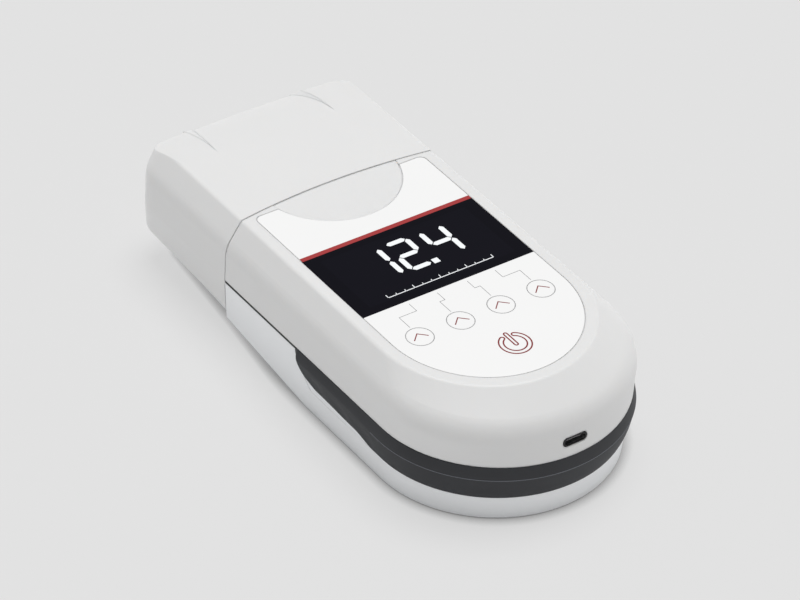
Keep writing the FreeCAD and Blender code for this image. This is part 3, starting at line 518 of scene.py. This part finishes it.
class Strokes(Solids):
    """Gathers flat printed strokes and patches between two heights, with mitred corners."""

    sharp = None

    def __init__(self, surface, height):
        super().__init__()
        self.heights = (surface - INK_ROOT * MM, surface + height)

    def stroke(self, points, width, closed=False):
        pts = [Vector(p) for p in points]
        rings = []
        count = len(pts)
        for i, p in enumerate(pts):
            way_in = (p - pts[i - 1]).normalized() if closed or i > 0 else None
            way_out = (pts[(i + 1) % count] - p).normalized() if closed or i < count - 1 else None
            way_in = way_in or way_out
            way_out = way_out or way_in
            side_in = Vector((-way_in.y, way_in.x))
            side_out = Vector((-way_out.y, way_out.x))
            side = (side_in + side_out).normalized()
            reach = width / 2 / max(0.35, side.dot(side_in))
            a, b = p + side * reach, p - side * reach
            low, high = self.heights
            rings.append([(a.x, a.y, low), (b.x, b.y, low), (b.x, b.y, high), (a.x, a.y, high)])
        self.add(rings, closed)

    def patch(self, points):
        self.add([(x, y, z) for x, y in points] for z in self.heights)


def arc(centre, radius, start, end, steps):
    for i in range(steps + 1):
        turn = math.radians(start + (end - start) * i / steps)
        yield (centre[0] + radius * math.cos(turn), centre[1] + radius * math.sin(turn))


def geometry_tree(name, inputs):
    tree = bpy.data.node_groups.new(name, "GeometryNodeTree")
    tree.interface.new_socket("Geometry", in_out="OUTPUT", socket_type="NodeSocketGeometry")
    sockets = {label: tree.interface.new_socket(label, in_out="INPUT", socket_type=kind) for label, kind in inputs}
    return tree, sockets


def run_tree(name, tree, sockets, values, body):
    """Puts a tree on an empty mesh, and keeps its result as a plain piece."""
    holder = new_object(name + "_tree", bpy.data.meshes.new(name + "_tree"))
    modifier = holder.modifiers.new("Build", "NODES")
    modifier.node_group = tree
    for label, value in values.items():
        modifier[sockets[label].identifier] = value
    graph = bpy.context.evaluated_depsgraph_get()
    mesh = bpy.data.meshes.new_from_object(holder.evaluated_get(graph), depsgraph=graph)
    holder.modifiers.remove(modifier)
    bpy.data.objects.remove(holder)
    mesh.name = name
    new_piece(name, mesh, body)


def ring_row_tree():
    """Equal printed rings in a row: a circle swept with a flat section, one at each point."""
    tree, sockets = geometry_tree("Key rings", (
        ("Count", "NodeSocketInt"), ("Start", "NodeSocketVector"), ("Step", "NodeSocketVector"),
        ("Radius", "NodeSocketFloat"), ("Line width", "NodeSocketFloat"), ("Line height", "NodeSocketFloat"),
        ("Material", "NodeSocketMaterial")))
    given, row, circle, section, sweep, copies, real, paint, result = (tree.nodes.new(kind) for kind in (
        "NodeGroupInput", "GeometryNodeMeshLine", "GeometryNodeCurvePrimitiveCircle",
        "GeometryNodeCurvePrimitiveQuadrilateral", "GeometryNodeCurveToMesh", "GeometryNodeInstanceOnPoints",
        "GeometryNodeRealizeInstances", "GeometryNodeSetMaterial", "NodeGroupOutput"))
    circle.inputs["Resolution"].default_value = 96
    for source, outlet, target, inlet in (
            (given, "Count", row, "Count"), (given, "Start", row, "Start Location"),
            (given, "Step", row, "Offset"), (given, "Radius", circle, "Radius"),
            (given, "Line width", section, "Width"), (given, "Line height", section, "Height"),
            (circle, "Curve", sweep, "Curve"), (section, "Curve", sweep, "Profile Curve"),
            (row, "Mesh", copies, "Points"), (sweep, "Mesh", copies, "Instance"),
            (copies, "Instances", real, "Geometry"), (real, "Geometry", paint, "Geometry"),
            (given, "Material", paint, "Material"), (paint, "Geometry", result, "Geometry")):
        tree.links.new(source.outputs[outlet], target.inputs[inlet])
    return tree, sockets


def colour_property(name, description, default):
    return bpy.props.FloatVectorProperty(
        name=name, description=description, default=default, min=0.0, max=1.0, subtype="COLOR")


def length_property(name, description, default, low, high):
    """A length, with its default and limits given in millimetres."""
    return bpy.props.FloatProperty(
        name=name, description=description, default=default * MM, min=low * MM, max=high * MM,
        subtype="DISTANCE", unit="LENGTH")


def share_property(name, description, default):
    return bpy.props.FloatProperty(
        name=name, description=description, default=default, min=0.0, max=1.0, subtype="FACTOR")


class TURBIDIMETER_PG_finish(bpy.types.PropertyGroup):
    shell: colour_property("Shell", "Colour of the upper shell and the lid", (0.775, 0.775, 0.773))
    lower: colour_property("Lower shell", "Colour of the lower shell", (0.92, 0.934, 0.948))
    film: colour_property("Panel film", "Colour of the printed panel", (0.90, 0.90, 0.897))
    rubber: colour_property("Bumper", "Colour of the rubber round the nose", (0.030, 0.0315, 0.0355))
    red: colour_property("Red print", "Colour of the stripe and the key marks", (0.38, 0.028, 0.030))
    line: colour_property("Grey print", "Colour of the rings and the leader lines", (0.24, 0.24, 0.25))


class TURBIDIMETER_PG_print(bpy.types.PropertyGroup):
    lift: length_property("Ink height", "Height of the ink over the film", 0.02, 0.001, 0.1)
    line_width: length_property("Line width", "Width of the grey rings and lines", 0.18, 0.05, 1.0)
    mark_width: length_property("Mark width", "Width of the red strokes", 0.38, 0.05, 1.0)
    stripe_width: length_property("Stripe width", "Width of the red stripe above the display", 1.8, 0.2, 5.0)
    digit_height: length_property("Digit height", "Height of the reading on the display", 15.0, 4.0, 24.0)


class TURBIDIMETER_PG_bumper(bpy.types.PropertyGroup):
    ridge_height: length_property("Ridge height", "Height of the thin ridge round the nose", 0.17, 0.0, 1.0)
    ridge_width: length_property("Ridge width", "Width of the thin ridge at its foot", 0.42, 0.1, 2.0)
    grip_count: bpy.props.IntProperty(
        name="Finger grips", description="Number of hollows on each side", default=3, min=0, max=3)
    grip_depth: length_property("Grip depth", "Depth of the hollows for the fingers", 0.45, 0.0, 1.0)
    end_round: length_property("End radius", "Radius of the corners at the bumper's ends", 1.7, 0.2, 3.0)


class TURBIDIMETER_PG_stage(bpy.types.PropertyGroup):
    floor: share_property("Floor", "Lightness of the floor as seen", 0.7605)
    bounce: share_property("Bounce", "Share of the light that the floor sends back", 0.9)
    floor_share: share_property("Even share", "Part of the floor's look that takes no shadow", 0.8)
    contact: length_property("Contact shadow", "Reach of the narrow shadow on the floor", 4.0, 0.1, 50.0)
    sky: bpy.props.FloatProperty(
        name="Sky", description="Even light from all round", default=0.42, min=0.0, max=2.0)
    sun: bpy.props.FloatProperty(
        name="Key light", description="Strength of the soft key light", default=2.0, min=0.0, max=10.0)
    lens: bpy.props.FloatProperty(
        name="Lens", description="Focal length of the camera", default=189.87, min=20.0, max=400.0, unit="CAMERA")


class TURBIDIMETER_PG_all(bpy.types.PropertyGroup):
    finish: bpy.props.PointerProperty(type=TURBIDIMETER_PG_finish)
    print: bpy.props.PointerProperty(type=TURBIDIMETER_PG_print)
    bumper: bpy.props.PointerProperty(type=TURBIDIMETER_PG_bumper)
    stage: bpy.props.PointerProperty(type=TURBIDIMETER_PG_stage)


def sizes(context):
    return context.scene.turbidimeter


class TURBIDIMETER_OT_finishes(bpy.types.Operator):
    """Gives every node of the frame its finish"""

    bl_idname = "turbidimeter.finishes"
    bl_label = "Finish the frame's parts"

    def execute(self, context):
        tones = sizes(context).finish
        shell = moulded_plastic("Upper shell", tones.shell, 0.42, 0.32, edge=0.7, depth=0.5)
        lower = moulded_plastic("Lower shell", tones.lower, 0.45, 0.32)
        film = printed_film("Panel film", tones.film)
        black = moulded_plastic("Black moulding", (0.018, 0.018, 0.019), 0.55, 0.4)
        finish(SHELL_NODES, shell)
        finish(LOWER_NODES, lower)
        finish(FILM_NODES + KEY_NODES + (POWER_NODE,), film)
        glass = display_glass("Display window", (0.0042, 0.004, 0.0075), (0.0052, 0.005, 0.0092))
        finish(("display_window",), glass)
        finish(BLACK_NODES, black)
        finish(RUBBER_NODES, soft_rubber("Seal rubber", (0.02, 0.02, 0.021)))
        finish(FOOT_NODES, soft_rubber("Foot rubber", (0.03, 0.03, 0.03)))
        finish(("dome_sheet",), soft_rubber("Silicone", (0.5, 0.51, 0.52)))
        finish(STEEL_NODES, plated_steel("Plated steel"))
        finish(MAGNET_NODES, plated_steel("Nickel", (0.66, 0.65, 0.62), 0.15))
        finish(BOARD_NODES, circuit_board("Circuit board"))
        finish(LENS_NODES, clear_lens("Clear lens"))
        finish(("battery_cells",), cell_jacket("Cell jacket"))
        finish(("ribbon_cable",), flat_cable("Flat cable"))
        return {"FINISHED"}


def smooth(value):
    value = min(1.0, max(0.0, value))
    return value * value * (3 - 2 * value)


def outline(z):
    """The lower shell's half width, its nose's tip and its nose's reach at a height."""
    share = (z - BASE_RING[0]) / (JOINT_RING[0] - BASE_RING[0])
    return [low + (high - low) * share for low, high in zip(BASE_RING[1:], JOINT_RING[1:])]


def half_width(z):
    """Half the lower shell's width at a height."""
    return outline(z)[0]


def lifted(y, z):
    """The height of a point of the bumper once the band narrows towards its ends."""
    narrow = sum(share * smooth((y - start) / length) for share, start, length in NARROWING)
    return z + (JOINT_RING[0] - z) * narrow


def end_place(z, corner, ends):
    """Where a band ends at a height: a curve through three points, with its two corners rounded."""
    (z0, y0), (z1, y1), (z2, y2) = ends
    place = y0 * (z - z1) * (z - z2) / ((z0 - z1) * (z0 - z2))
    place += y1 * (z - z0) * (z - z2) / ((z1 - z0) * (z1 - z2))
    place += y2 * (z - z0) * (z - z1) / ((z2 - z0) * (z2 - z1))
    for depth in (z0 - z, z - z2):
        if depth < corner:
            place -= corner - math.sqrt(max(0.0, corner ** 2 - (corner - depth) ** 2))
    return place


def side_path(z, start):
    """Points and outward ways along the lower shell, from a place on its left side to the nose's tip."""
    half, tip, nose = outline(z)
    side = tip + nose
    for i in range(PATH_STEPS):
        t = (i / PATH_STEPS) ** PATH_CROWDING
        yield -half, start + (side - start) * t, -1.0, 0.0
    k = CIRCLE_HANDLE
    poles = [Vector(p) for p in ((-half, side), (-half, side - nose * k), (-half * k, tip), (0, tip))]
    for i in range(PATH_STEPS + 1):
        t = i / PATH_STEPS
        a, b, c, d = (1 - t) ** 3, 3 * t * (1 - t) ** 2, 3 * t * t * (1 - t), t ** 3
        point = a * poles[0] + b * poles[1] + c * poles[2] + d * poles[3]
        way = (1 - t) ** 2 * (poles[1] - poles[0]) + 2 * t * (1 - t) * (poles[2] - poles[1])
        way += t * t * (poles[3] - poles[2])
        way.normalize()
        yield point.x, point.y, way.y, -way.x


def mirrored(left):
    """A run of points from the left to the middle, carried on to the right."""
    return left + [(-x, y, z) for x, y, z in reversed(left[:-1])]


def stand_off(y, z, off, start, made):
    """How far the bumper's face stands off the shell: ends that fade, hollows for the fingers, a thin ridge."""
    off *= smooth((start - y) / END_FADE)
    ridge = smooth((RIDGE_START - y) / RIDGE_RISE) * made.ridge_height / MM
    off += ridge * max(0.0, 1 - (abs(z - RIDGE_Z) / (made.ridge_width / MM / 2)) ** 2)
    for i in range(made.grip_count):
        along = (y - GRIP_PLACE[0] + GRIP_PITCH * i) / GRIP_REACH[0]
        away = math.hypot(along, (z - GRIP_PLACE[1]) / GRIP_REACH[1])
        off -= made.grip_depth / MM * smooth(GRIP_EDGE - away) * smooth(off)
    return off


class TURBIDIMETER_OT_bumper(bpy.types.Operator):
    """Models the rubber bumper with its finger grips, ridge and round ends"""

    bl_idname = "turbidimeter.bumper"
    bl_label = "Model the bumper"

    def execute(self, context):
        made = sizes(context).bumper
        corner = made.end_round / MM
        reach = made.ridge_width / MM / 2
        rows = [row for row in BUMPER_SECTION if abs(row[0] - RIDGE_Z) > reach + RIDGE_CLEAR]
        rows += [(RIDGE_Z + reach * share, RIDGE_FACE) for share in RIDGE_ROWS]
        rows.sort(reverse=True)
        lines = []
        for z, off in rows:
            left = []
            start = end_place(z, corner, BUMPER_ENDS)
            for x, y, nx, ny in side_path(z, start):
                out = stand_off(y, z, off, start, made)
                high = lifted(y, z)
                left.append((x + nx * out + half_width(z) - half_width(high), y + ny * out, high))
            lines.append(mirrored(left))
        for z in (rows[-1][0], rows[0][0]):
            path = side_path(z, end_place(z, corner, BUMPER_ENDS))
            left = [(x - nx * BED_DEPTH, y - ny * BED_DEPTH, lifted(y, z)) for x, y, nx, ny in path]
            lines.append(mirrored(left))
        solid = Solids(MM)
        solid.add(zip(*lines))
        # The painted highlight along the ridge's top
        ridge_highlight = (RIDGE_Z * MM, made.ridge_width * HIGHLIGHT_SHARE, HIGHLIGHT_START * MM)
        rubber = soft_rubber("Bumper rubber", sizes(context).finish.rubber, 0.45, painted_highlight=ridge_highlight)
        piece = solid.piece("bumper_rubber", rubber, "housing", "bumper_rubber")
        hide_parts("bumper")
        return {"FINISHED"}


class TURBIDIMETER_OT_bed_filler(bpy.types.Operator):
    """Fills the bumper's bed where the rubber is slimmer than the bed"""

    bl_idname = "turbidimeter.bed_filler"
    bl_label = "Fill the bumper's bed"

    def execute(self, context):
        solid = Solids(MM)
        front = FILLER_FRONT
        for side in (-1, 1):
            rings = []
            for i in range(FILLER_STEPS + 1):
                z = FILLER_FOOT + FILLER_HEIGHT * i / FILLER_STEPS
                outer, inner = (side * (half_width(z) - sunk) for sunk in FILLER_SUNK)
                back = end_place(z, BED_CORNER, BED_ENDS) - FILLER_CLEAR
                rings.append([(outer, back, z), (outer, front, z), (inner, front, z), (inner, back, z)])
            solid.add(rings)
        solid.piece("bumper_bed_filler", bpy.data.materials["Lower shell"], "housing", "lower_shell")
        return {"FINISHED"}


class TURBIDIMETER_OT_panel_print(bpy.types.Operator):
    """Prints the stripe, the rings and the leader lines on the key panel"""

    bl_idname = "turbidimeter.panel_print"
    bl_label = "Print the panel"

    def execute(self, context):
        made = sizes(context).print
        tones = sizes(context).finish
        grey = ink("Grey ink", tones.line)
        low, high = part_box("display_window")
        top = high.z
        stripe = Strokes(top, made.lift)
        y0 = high.y - STRIPE_LAP * MM
        y1 = y0 + made.stripe_width
        stripe.patch([(low.x, y0), (high.x, y0), (high.x, y1), (low.x, y1)])
        stripe.piece("red_stripe", ink("Red ink", tones.red), "housing", "panel_film")
        lines = Strokes(top, made.lift)
        gap, ring_gap = (size * MM for size in LEADER_GAPS)
        begin = low.y - gap
        bend = begin - LEADER_BEND * MM
        for name, start in zip(KEY_NODES, LEADER_STARTS):
            centre, radius = key_circle(name)
            end = centre.y + radius + ring_gap
            x = start * MM
            lines.stroke([(x, begin), (x, bend), (centre.x, bend), (centre.x, end)], made.line_width)
        lines.piece("leader_lines", grey, "housing", "panel_film")
        first, _ = key_circle(KEY_NODES[0])
        second, radius = key_circle(KEY_NODES[1])
        tree, sockets = ring_row_tree()
        values = {"Count": len(KEY_NODES), "Start": (first.x, first.y, top), "Step": (second.x - first.x, 0, 0),
                  "Radius": radius + RING_CLEAR * MM, "Line width": made.line_width,
                  "Line height": 2 * made.lift, "Material": grey}
        run_tree("key_rings", tree, sockets, values, "housing")
        return {"FINISHED"}


def key_circle(name):
    """The middle of a round key's top, and its radius."""
    low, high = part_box(name)
    return Vector(((low.x + high.x) / 2, (low.y + high.y) / 2, high.z)), (high.x - low.x) / 2


class TURBIDIMETER_OT_key_marks(bpy.types.Operator):
    """Prints a chevron on each key and the standby sign on the power key"""

    bl_idname = "turbidimeter.key_marks"
    bl_label = "Print the keys"

    def execute(self, context):
        made = sizes(context).print
        tones = sizes(context).finish
        red = ink("Key ink", rgb(tones.red, 0.6)[:3])
        reach, apex, foot = (size * MM for size in CHEVRON)
        for name in KEY_NODES:
            x, y, top = key_circle(name)[0]
            mark = Strokes(top, made.lift)
            mark.stroke([(x - reach, y - foot), (x, y + apex), (x + reach, y - foot)], made.mark_width)
            mark.piece(name + "_mark", red, name, "panel_film")
        centre, radius = key_circle(POWER_NODE)
        mark = Strokes(centre.z, made.lift)
        self.sign(mark, centre.x, centre.y - SIGN_DROP * MM, made.mark_width * SIGN_LINE)
        mark.piece("power_mark", red, POWER_NODE, "panel_film")
        out, width, height = (size * MM for size in COVER_RING)
        cover = Strokes(centre.z, height)
        cover.stroke(list(arc(centre, radius + out, 0, 360, 96))[:-1], width, closed=True)
        cover.piece("power_ring", bpy.data.materials["Panel film"], "housing", "panel_film")
        return {"FINISHED"}

    def sign(self, mark, x, y, width):
        """The outline of an open ring with round ends, and of a bar in its opening."""
        outer, inner = (radius * MM for radius in SIGN_RADII)
        cap = (outer - inner) / 2
        ring = (outer + inner) / 2
        first, last = 90 + SIGN_OPENING, 450 - SIGN_OPENING
        path = []
        for radius, start, end, turn in ((outer, first, last, last), (inner, last, first, first + 180)):
            path += arc((x, y), radius, start, end, 64)
            tip = next(arc((x, y), ring, end, end, 1))
            path += list(arc(tip, cap, turn, turn + 180, 8))[1:-1]
        mark.stroke(path, width, closed=True)
        half, low, high = (size * MM for size in SIGN_BAR)
        bar = [*arc((x, y + high), half, 0, 180, 12), *arc((x, y + low), half, 180, 360, 12)]
        mark.stroke(bar, width, closed=True)


def seam_place(x, radius):
    """Where the seam stands at a distance from the middle line."""
    return SEAM_CENTRE + math.sqrt(radius ** 2 - x ** 2)


class TURBIDIMETER_OT_seam_filler(bpy.types.Operator):
    """Lays a light lip in the gap between the lid and the shell, and a floor in the finger dish"""

    bl_idname = "turbidimeter.seam_filler"
    bl_label = "Fill the lid's seam"

    def execute(self, context):
        low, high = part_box("display_window")
        shell = bpy.data.materials["Upper shell"]
        for name, rings in (("seam_filler", self.lip_rings()),
                            ("scoop_floor", self.floor_rings(high.y / MM + DISH_NEAR))):
            solid = Solids(MM)
            solid.add(rings)
            solid.piece(name, shell, "housing", "upper_shell")
        return {"FINISHED"}

    def lip_rings(self):
        sunk = DISH_TOPS[1] - LIP_SUNK
        flat = SEAM_PROFILE[-1][1]
        left = [(-x, z) for x, z in SEAM_PROFILE]
        left += [(-DISH_RADIUS - LIP_STEP[0], flat), (-DISH_RADIUS + LIP_STEP[1], sunk)]
        middle = [(DISH_RADIUS * i / 10, sunk) for i in range(-9, 10)]
        for x, z in left + middle + [(-x, z) for x, z in reversed(left)]:
            # Inwards on the sides, downwards on top
            side = abs(x) > SEAM_PROFILE[-2][0]
            inner = (x - math.copysign(LIP_DEPTH, x), z) if side else (x, z - LIP_DEPTH)
            near, far = SEAM_RADII
            corners = ((x, z, near), (*inner, near), (*inner, far), (x, z, far))
            yield [(px, seam_place(px, radius), pz) for px, pz, radius in corners]

    def floor_rings(self, front):
        radius = SEAM_RADII[0] - DISH_CLEAR
        rim = [(x, y) for x, y in arc((0, front + DISH_RADIUS), DISH_RADIUS - DISH_CLEAR, 170, 370, 128)
               if math.hypot(x, y - SEAM_CENTRE) < radius]
        last = rim[-1][0]
        rim += [(x, seam_place(x, radius)) for x in (last * (1 - i / 12) for i in range(25))]
        slope = (DISH_TOPS[1] - DISH_TOPS[0]) / (DISH_FAR - front)
        yield [(x, y, DISH_UNDERSIDE) for x, y in rim]
        yield [(x, y, DISH_TOPS[0] + (y - front) * slope) for x, y in rim]


def rolled(y, roll):
    """The height of a surface that rolls down towards the far end."""
    start, radius = roll
    return TOP - radius + math.sqrt(radius ** 2 - max(0.0, y - start) ** 2)


class TURBIDIMETER_OT_saddle_blend(bpy.types.Operator):
    """Eases the step at each side of the lid's saddle into a ramp"""

    bl_idname = "turbidimeter.saddle_blend"
    bl_label = "Blend the saddle"

    def execute(self, context):
        solid = Solids(MM)
        first, last = RAMP_ENDS
        for side in (-1, 1):
            rings = []
            for i in range(RAMP_STEPS + 1):
                y = first + (last - first) * i / RAMP_STEPS
                high, low = rolled(y, LID_ROLL) - RAMP_HEAD, rolled(y, SADDLE_ROLL)
                head, foot = SADDLE_HALF + RAMP_LAP, SADDLE_HALF - RAMP_RATIO * (high - low)
                under = low - RAMP_DEPTH
                corners = ((head, high), (foot, low + RAMP_FOOT), (foot, under), (head, under))
                rings.append([(side * x, y, z) for x, z in corners])
            solid.add(rings)
        solid.piece("saddle_blend", bpy.data.materials["Upper shell"], "lid", "upper_shell")
        return {"FINISHED"}


def slot_outline(size, z):
    """A slot with round ends, seen from the front: points x, z."""
    half_wide, half_high = (s * MM for s in size)
    side = half_wide - half_high
    return [*arc((side, z), half_high, -90, 90, 16), *arc((-side, z), half_high, 90, 270, 16)]


class TURBIDIMETER_OT_port_shade_ring(bpy.types.Operator):
    """Rings the USB socket's mouth with black, a ring of painted shade"""

    bl_idname = "turbidimeter.port_gasket"
    bl_label = "Shade the port's mouth"

    def execute(self, context):
        low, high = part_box("usb_socket")
        z = (low.z + high.z) / 2
        front, back = (low.y - face * MM for face in SHADE_RING_FACES)
        outlines = zip(slot_outline(SHADE_RING_OUTER, z), slot_outline(SHADE_RING_INNER, z))
        rings = [[(a, front, b), (c, front, d), (c, back, d), (a, back, b)] for (a, b), (c, d) in outlines]
        solid = Solids()
        solid.add(rings, loop=True)
        # Painted shade: near-black matt finish for the ring
        rubber = soft_rubber("Port shade black", (0.006, 0.006, 0.007))
        solid.piece("port_gasket", rubber, "housing", "black_plastic")
        return {"FINISHED"}


def segment(strokes, start, end, width):
    """One lit bar of a digit, pointed at both ends."""
    a, b = Vector(start), Vector(end)
    way = (b - a).normalized()
    side = Vector((-way.y, way.x)) * width / 2
    tip = way * width / 2
    gap = way * width * BAR_GAP
    a, b = a + gap, b - gap
    strokes.patch((a, a + tip - side, b - tip - side, b, b - tip + side, a + tip + side))


def digit(strokes, char, x, y, height, width, bar):
    """A seven-bar digit with its lower left corner at x, y."""
    half = height / 2
    ends = {"a": ((0, height), (width, height)), "g": ((0, half), (width, half)), "d": ((0, 0), (width, 0)),
            "f": ((0, half), (0, height)), "e": ((0, 0), (0, half)),
            "b": ((width, half), (width, height)), "c": ((width, 0), (width, half))}
    for key in SEGMENTS[char]:
        (ax, ay), (bx, by) = ends[key]
        segment(strokes, (x + ax, y + ay), (x + bx, y + by), bar)


class TURBIDIMETER_OT_reading(bpy.types.Operator):
    """Lights a plain number and a scale on the display"""

    bl_idname = "turbidimeter.reading"
    bl_label = "Light the display"

    def execute(self, context):
        made = sizes(context).print
        low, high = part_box("display_window")
        lit = Paint("Lit display", 0.4, **{"Specular IOR Level": 0.1})
        glow = lit.noise(2600.0, 1.0)
        lit.colour(lit.mix(glow, (0.9, 0.93, 0.95, 1), (0.97, 0.99, 1.0, 1)))
        lit.roughness(0.35 + 0.1 * glow)
        strokes = Strokes(high.z, made.lift)
        height = made.digit_height
        width, bar, gap = height * DIGIT_WIDTH, height * DIGIT_BAR, height * DIGIT_GAP
        middle = (low + high) / 2
        # Three digits about the middle
        x = middle.x - (width + gap) * 1.5
        y = middle.y - height * DIGIT_FOOT
        for char in READING:
            if char == ".":
                dot = bar * POINT_SIZE
                x0, x1 = x - gap / 2 - 1.1 * dot, x - gap / 2 + 0.9 * dot
                strokes.patch([(x0, y - dot), (x1, y - dot), (x1, y + dot), (x0, y + dot)])
                x += height * POINT_ROOM
            else:
                digit(strokes, char, x, y, height, width, bar)
                x += width + gap
        reach = SCALE_REACH * MM
        foot = low.y + SCALE_RISE * MM
        strokes.stroke([(-reach, foot), (reach, foot)], SCALE_LINE * MM)
        long, short = (size * MM for size in SCALE_TICKS)
        for i in range(SCALE_SPACES + 1):
            x = -reach + 2 * reach * i / SCALE_SPACES
            strokes.stroke([(x, foot), (x, foot + (short if i % 3 else long))], TICK_LINE * MM)
        strokes.piece("display_reading", lit.material, "housing", "display_glass")
        return {"FINISHED"}


class TURBIDIMETER_OT_stage(bpy.types.Operator):
    """Makes the floor, the light and the camera"""

    bl_idname = "turbidimeter.stage"
    bl_label = "Set the stage"

    def execute(self, context):
        stage = sizes(context).stage
        make_floor(stage)
        make_light(stage)
        make_camera(stage)
        context.scene.view_settings.view_transform = "Standard"
        return {"FINISHED"}


def make_floor(stage):
    reach = FLOOR_REACH
    corners = ((-reach, -reach, 0), (reach, -reach, 0), (reach, reach, 0), (-reach, reach, 0))
    mesh = bpy.data.meshes.new("floor")
    mesh.from_pydata(corners, [], [(0, 1, 2, 3)])
    floor = new_object("floor", mesh)
    paint = Paint("Floor", 0.9, **{"Specular IOR Level": 0.0})
    paint.colour(rgb((1, 1, 1), stage.bounce))
    lit = stage.bounce * (stage.sky + stage.sun * KEY_WAY.normalized().z / math.pi)
    tone = (stage.floor - (1 - stage.floor_share) * lit) / stage.floor_share
    near = paint.node("ShaderNodeAmbientOcclusion", {"samples": 8}, {"Distance": stage.contact}, output="AO")
    shade = paint.mix(near, rgb((1, 1, 1), tone * SHADOW_TONE), rgb((1, 1, 1), tone))
    even = paint.node("ShaderNodeEmission", inputs={"Color": shade, "Strength": 1.0})
    seen = paint.node("ShaderNodeLightPath", output="Is Camera Ray")
    both = paint.node("ShaderNodeMixShader", inputs={0: seen * stage.floor_share, 2: even})
    paint.tree.links.new(paint.shader.outputs[0], both.socket.node.inputs[1])
    paint.put(paint.output, {"Surface": both})
    mesh.materials.append(paint.material)


def make_light(stage):
    world = bpy.data.worlds.new("Studio")
    world.use_nodes = True
    bpy.context.scene.world = world
    tree = world.node_tree
    back = tree.nodes["Background"]
    back.inputs["Color"].default_value = (1, 1, 1, 1)
    path = tree.nodes.new("ShaderNodeLightPath")
    seen = tree.nodes.new("ShaderNodeMath")
    seen.operation = "MAXIMUM"
    for i, ray in enumerate(("Is Camera Ray", "Is Transmission Ray")):
        tree.links.new(path.outputs[ray], seen.inputs[i])
    level = tree.nodes.new("ShaderNodeMapRange")
    level.inputs["To Min"].default_value = stage.sky
    level.inputs["To Max"].default_value = stage.floor
    tree.links.new(seen.outputs[0], level.inputs["Value"])
    tree.links.new(level.outputs[0], back.inputs["Strength"])
    sun = bpy.data.lights.new("Key light", "SUN")
    sun.energy = stage.sun
    sun.angle = math.radians(KEY_SPREAD)
    lamp = new_object("Key light", sun)
    lamp.rotation_mode = "QUATERNION"
    lamp.rotation_quaternion = KEY_WAY.to_track_quat("Z", "Y")


def make_camera(stage):
    """The photograph's view: a long lens, a little rolled."""
    azimuth, elevation, roll = (math.radians(turn) for turn in CAMERA_TURNS)
    back = Vector((math.sin(azimuth) * math.cos(elevation), -math.cos(azimuth) * math.cos(elevation),
                   math.sin(elevation)))
    right = Vector((math.cos(azimuth), math.sin(azimuth), 0))
    up = back.cross(right)
    turned_right = math.cos(roll) * right + math.sin(roll) * up
    turned_up = math.cos(roll) * up - math.sin(roll) * right
    data = bpy.data.cameras.new("Camera")
    data.sensor_width = 36.0
    data.lens = stage.lens
    data.clip_start = 0.05
    data.clip_end = 50.0
    camera = new_object("Camera", data)
    axes = Matrix((turned_right, turned_up, back)).transposed()
    camera.matrix_world = Matrix.Translation(CAMERA_PLACE * MM) @ axes.to_4x4()
    bpy.context.scene.camera = camera


class TURBIDIMETER_PT_panel(bpy.types.Panel):
    bl_label = "Turbidimeter"
    bl_idname = "TURBIDIMETER_PT_panel"
    bl_space_type = "VIEW_3D"
    bl_region_type = "UI"
    bl_category = "Turbidimeter"

    def draw(self, context):
        for step in STEPS:
            self.layout.operator(step.bl_idname)
        made = sizes(context)
        for group in (made.finish, made.print, made.bumper, made.stage):
            for key in group.__annotations__:
                self.layout.prop(group, key)


STEPS = (TURBIDIMETER_OT_finishes, TURBIDIMETER_OT_bumper, TURBIDIMETER_OT_bed_filler,
         TURBIDIMETER_OT_seam_filler, TURBIDIMETER_OT_saddle_blend, TURBIDIMETER_OT_port_shade_ring,
         TURBIDIMETER_OT_panel_print, TURBIDIMETER_OT_key_marks, TURBIDIMETER_OT_reading, TURBIDIMETER_OT_stage)
CLASSES = (TURBIDIMETER_PG_finish, TURBIDIMETER_PG_print, TURBIDIMETER_PG_bumper, TURBIDIMETER_PG_stage,
           TURBIDIMETER_PG_all, TURBIDIMETER_PT_panel) + STEPS


def register():
    for cls in CLASSES:
        bpy.utils.register_class(cls)
    bpy.types.Scene.turbidimeter = bpy.props.PointerProperty(type=TURBIDIMETER_PG_all)


def unregister():
    del bpy.types.Scene.turbidimeter
    for cls in reversed(CLASSES):
        bpy.utils.unregister_class(cls)


def main():
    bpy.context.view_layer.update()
    register()
    bpy.ops.turbidimeter.finishes()
    bpy.ops.turbidimeter.bumper()
    bpy.ops.turbidimeter.bed_filler()
    bpy.ops.turbidimeter.seam_filler()
    bpy.ops.turbidimeter.saddle_blend()
    bpy.ops.turbidimeter.port_gasket()
    bpy.ops.turbidimeter.panel_print()
    bpy.ops.turbidimeter.key_marks()
    bpy.ops.turbidimeter.reading()
    bpy.ops.turbidimeter.stage()


if __name__ == "__main__":
    main()
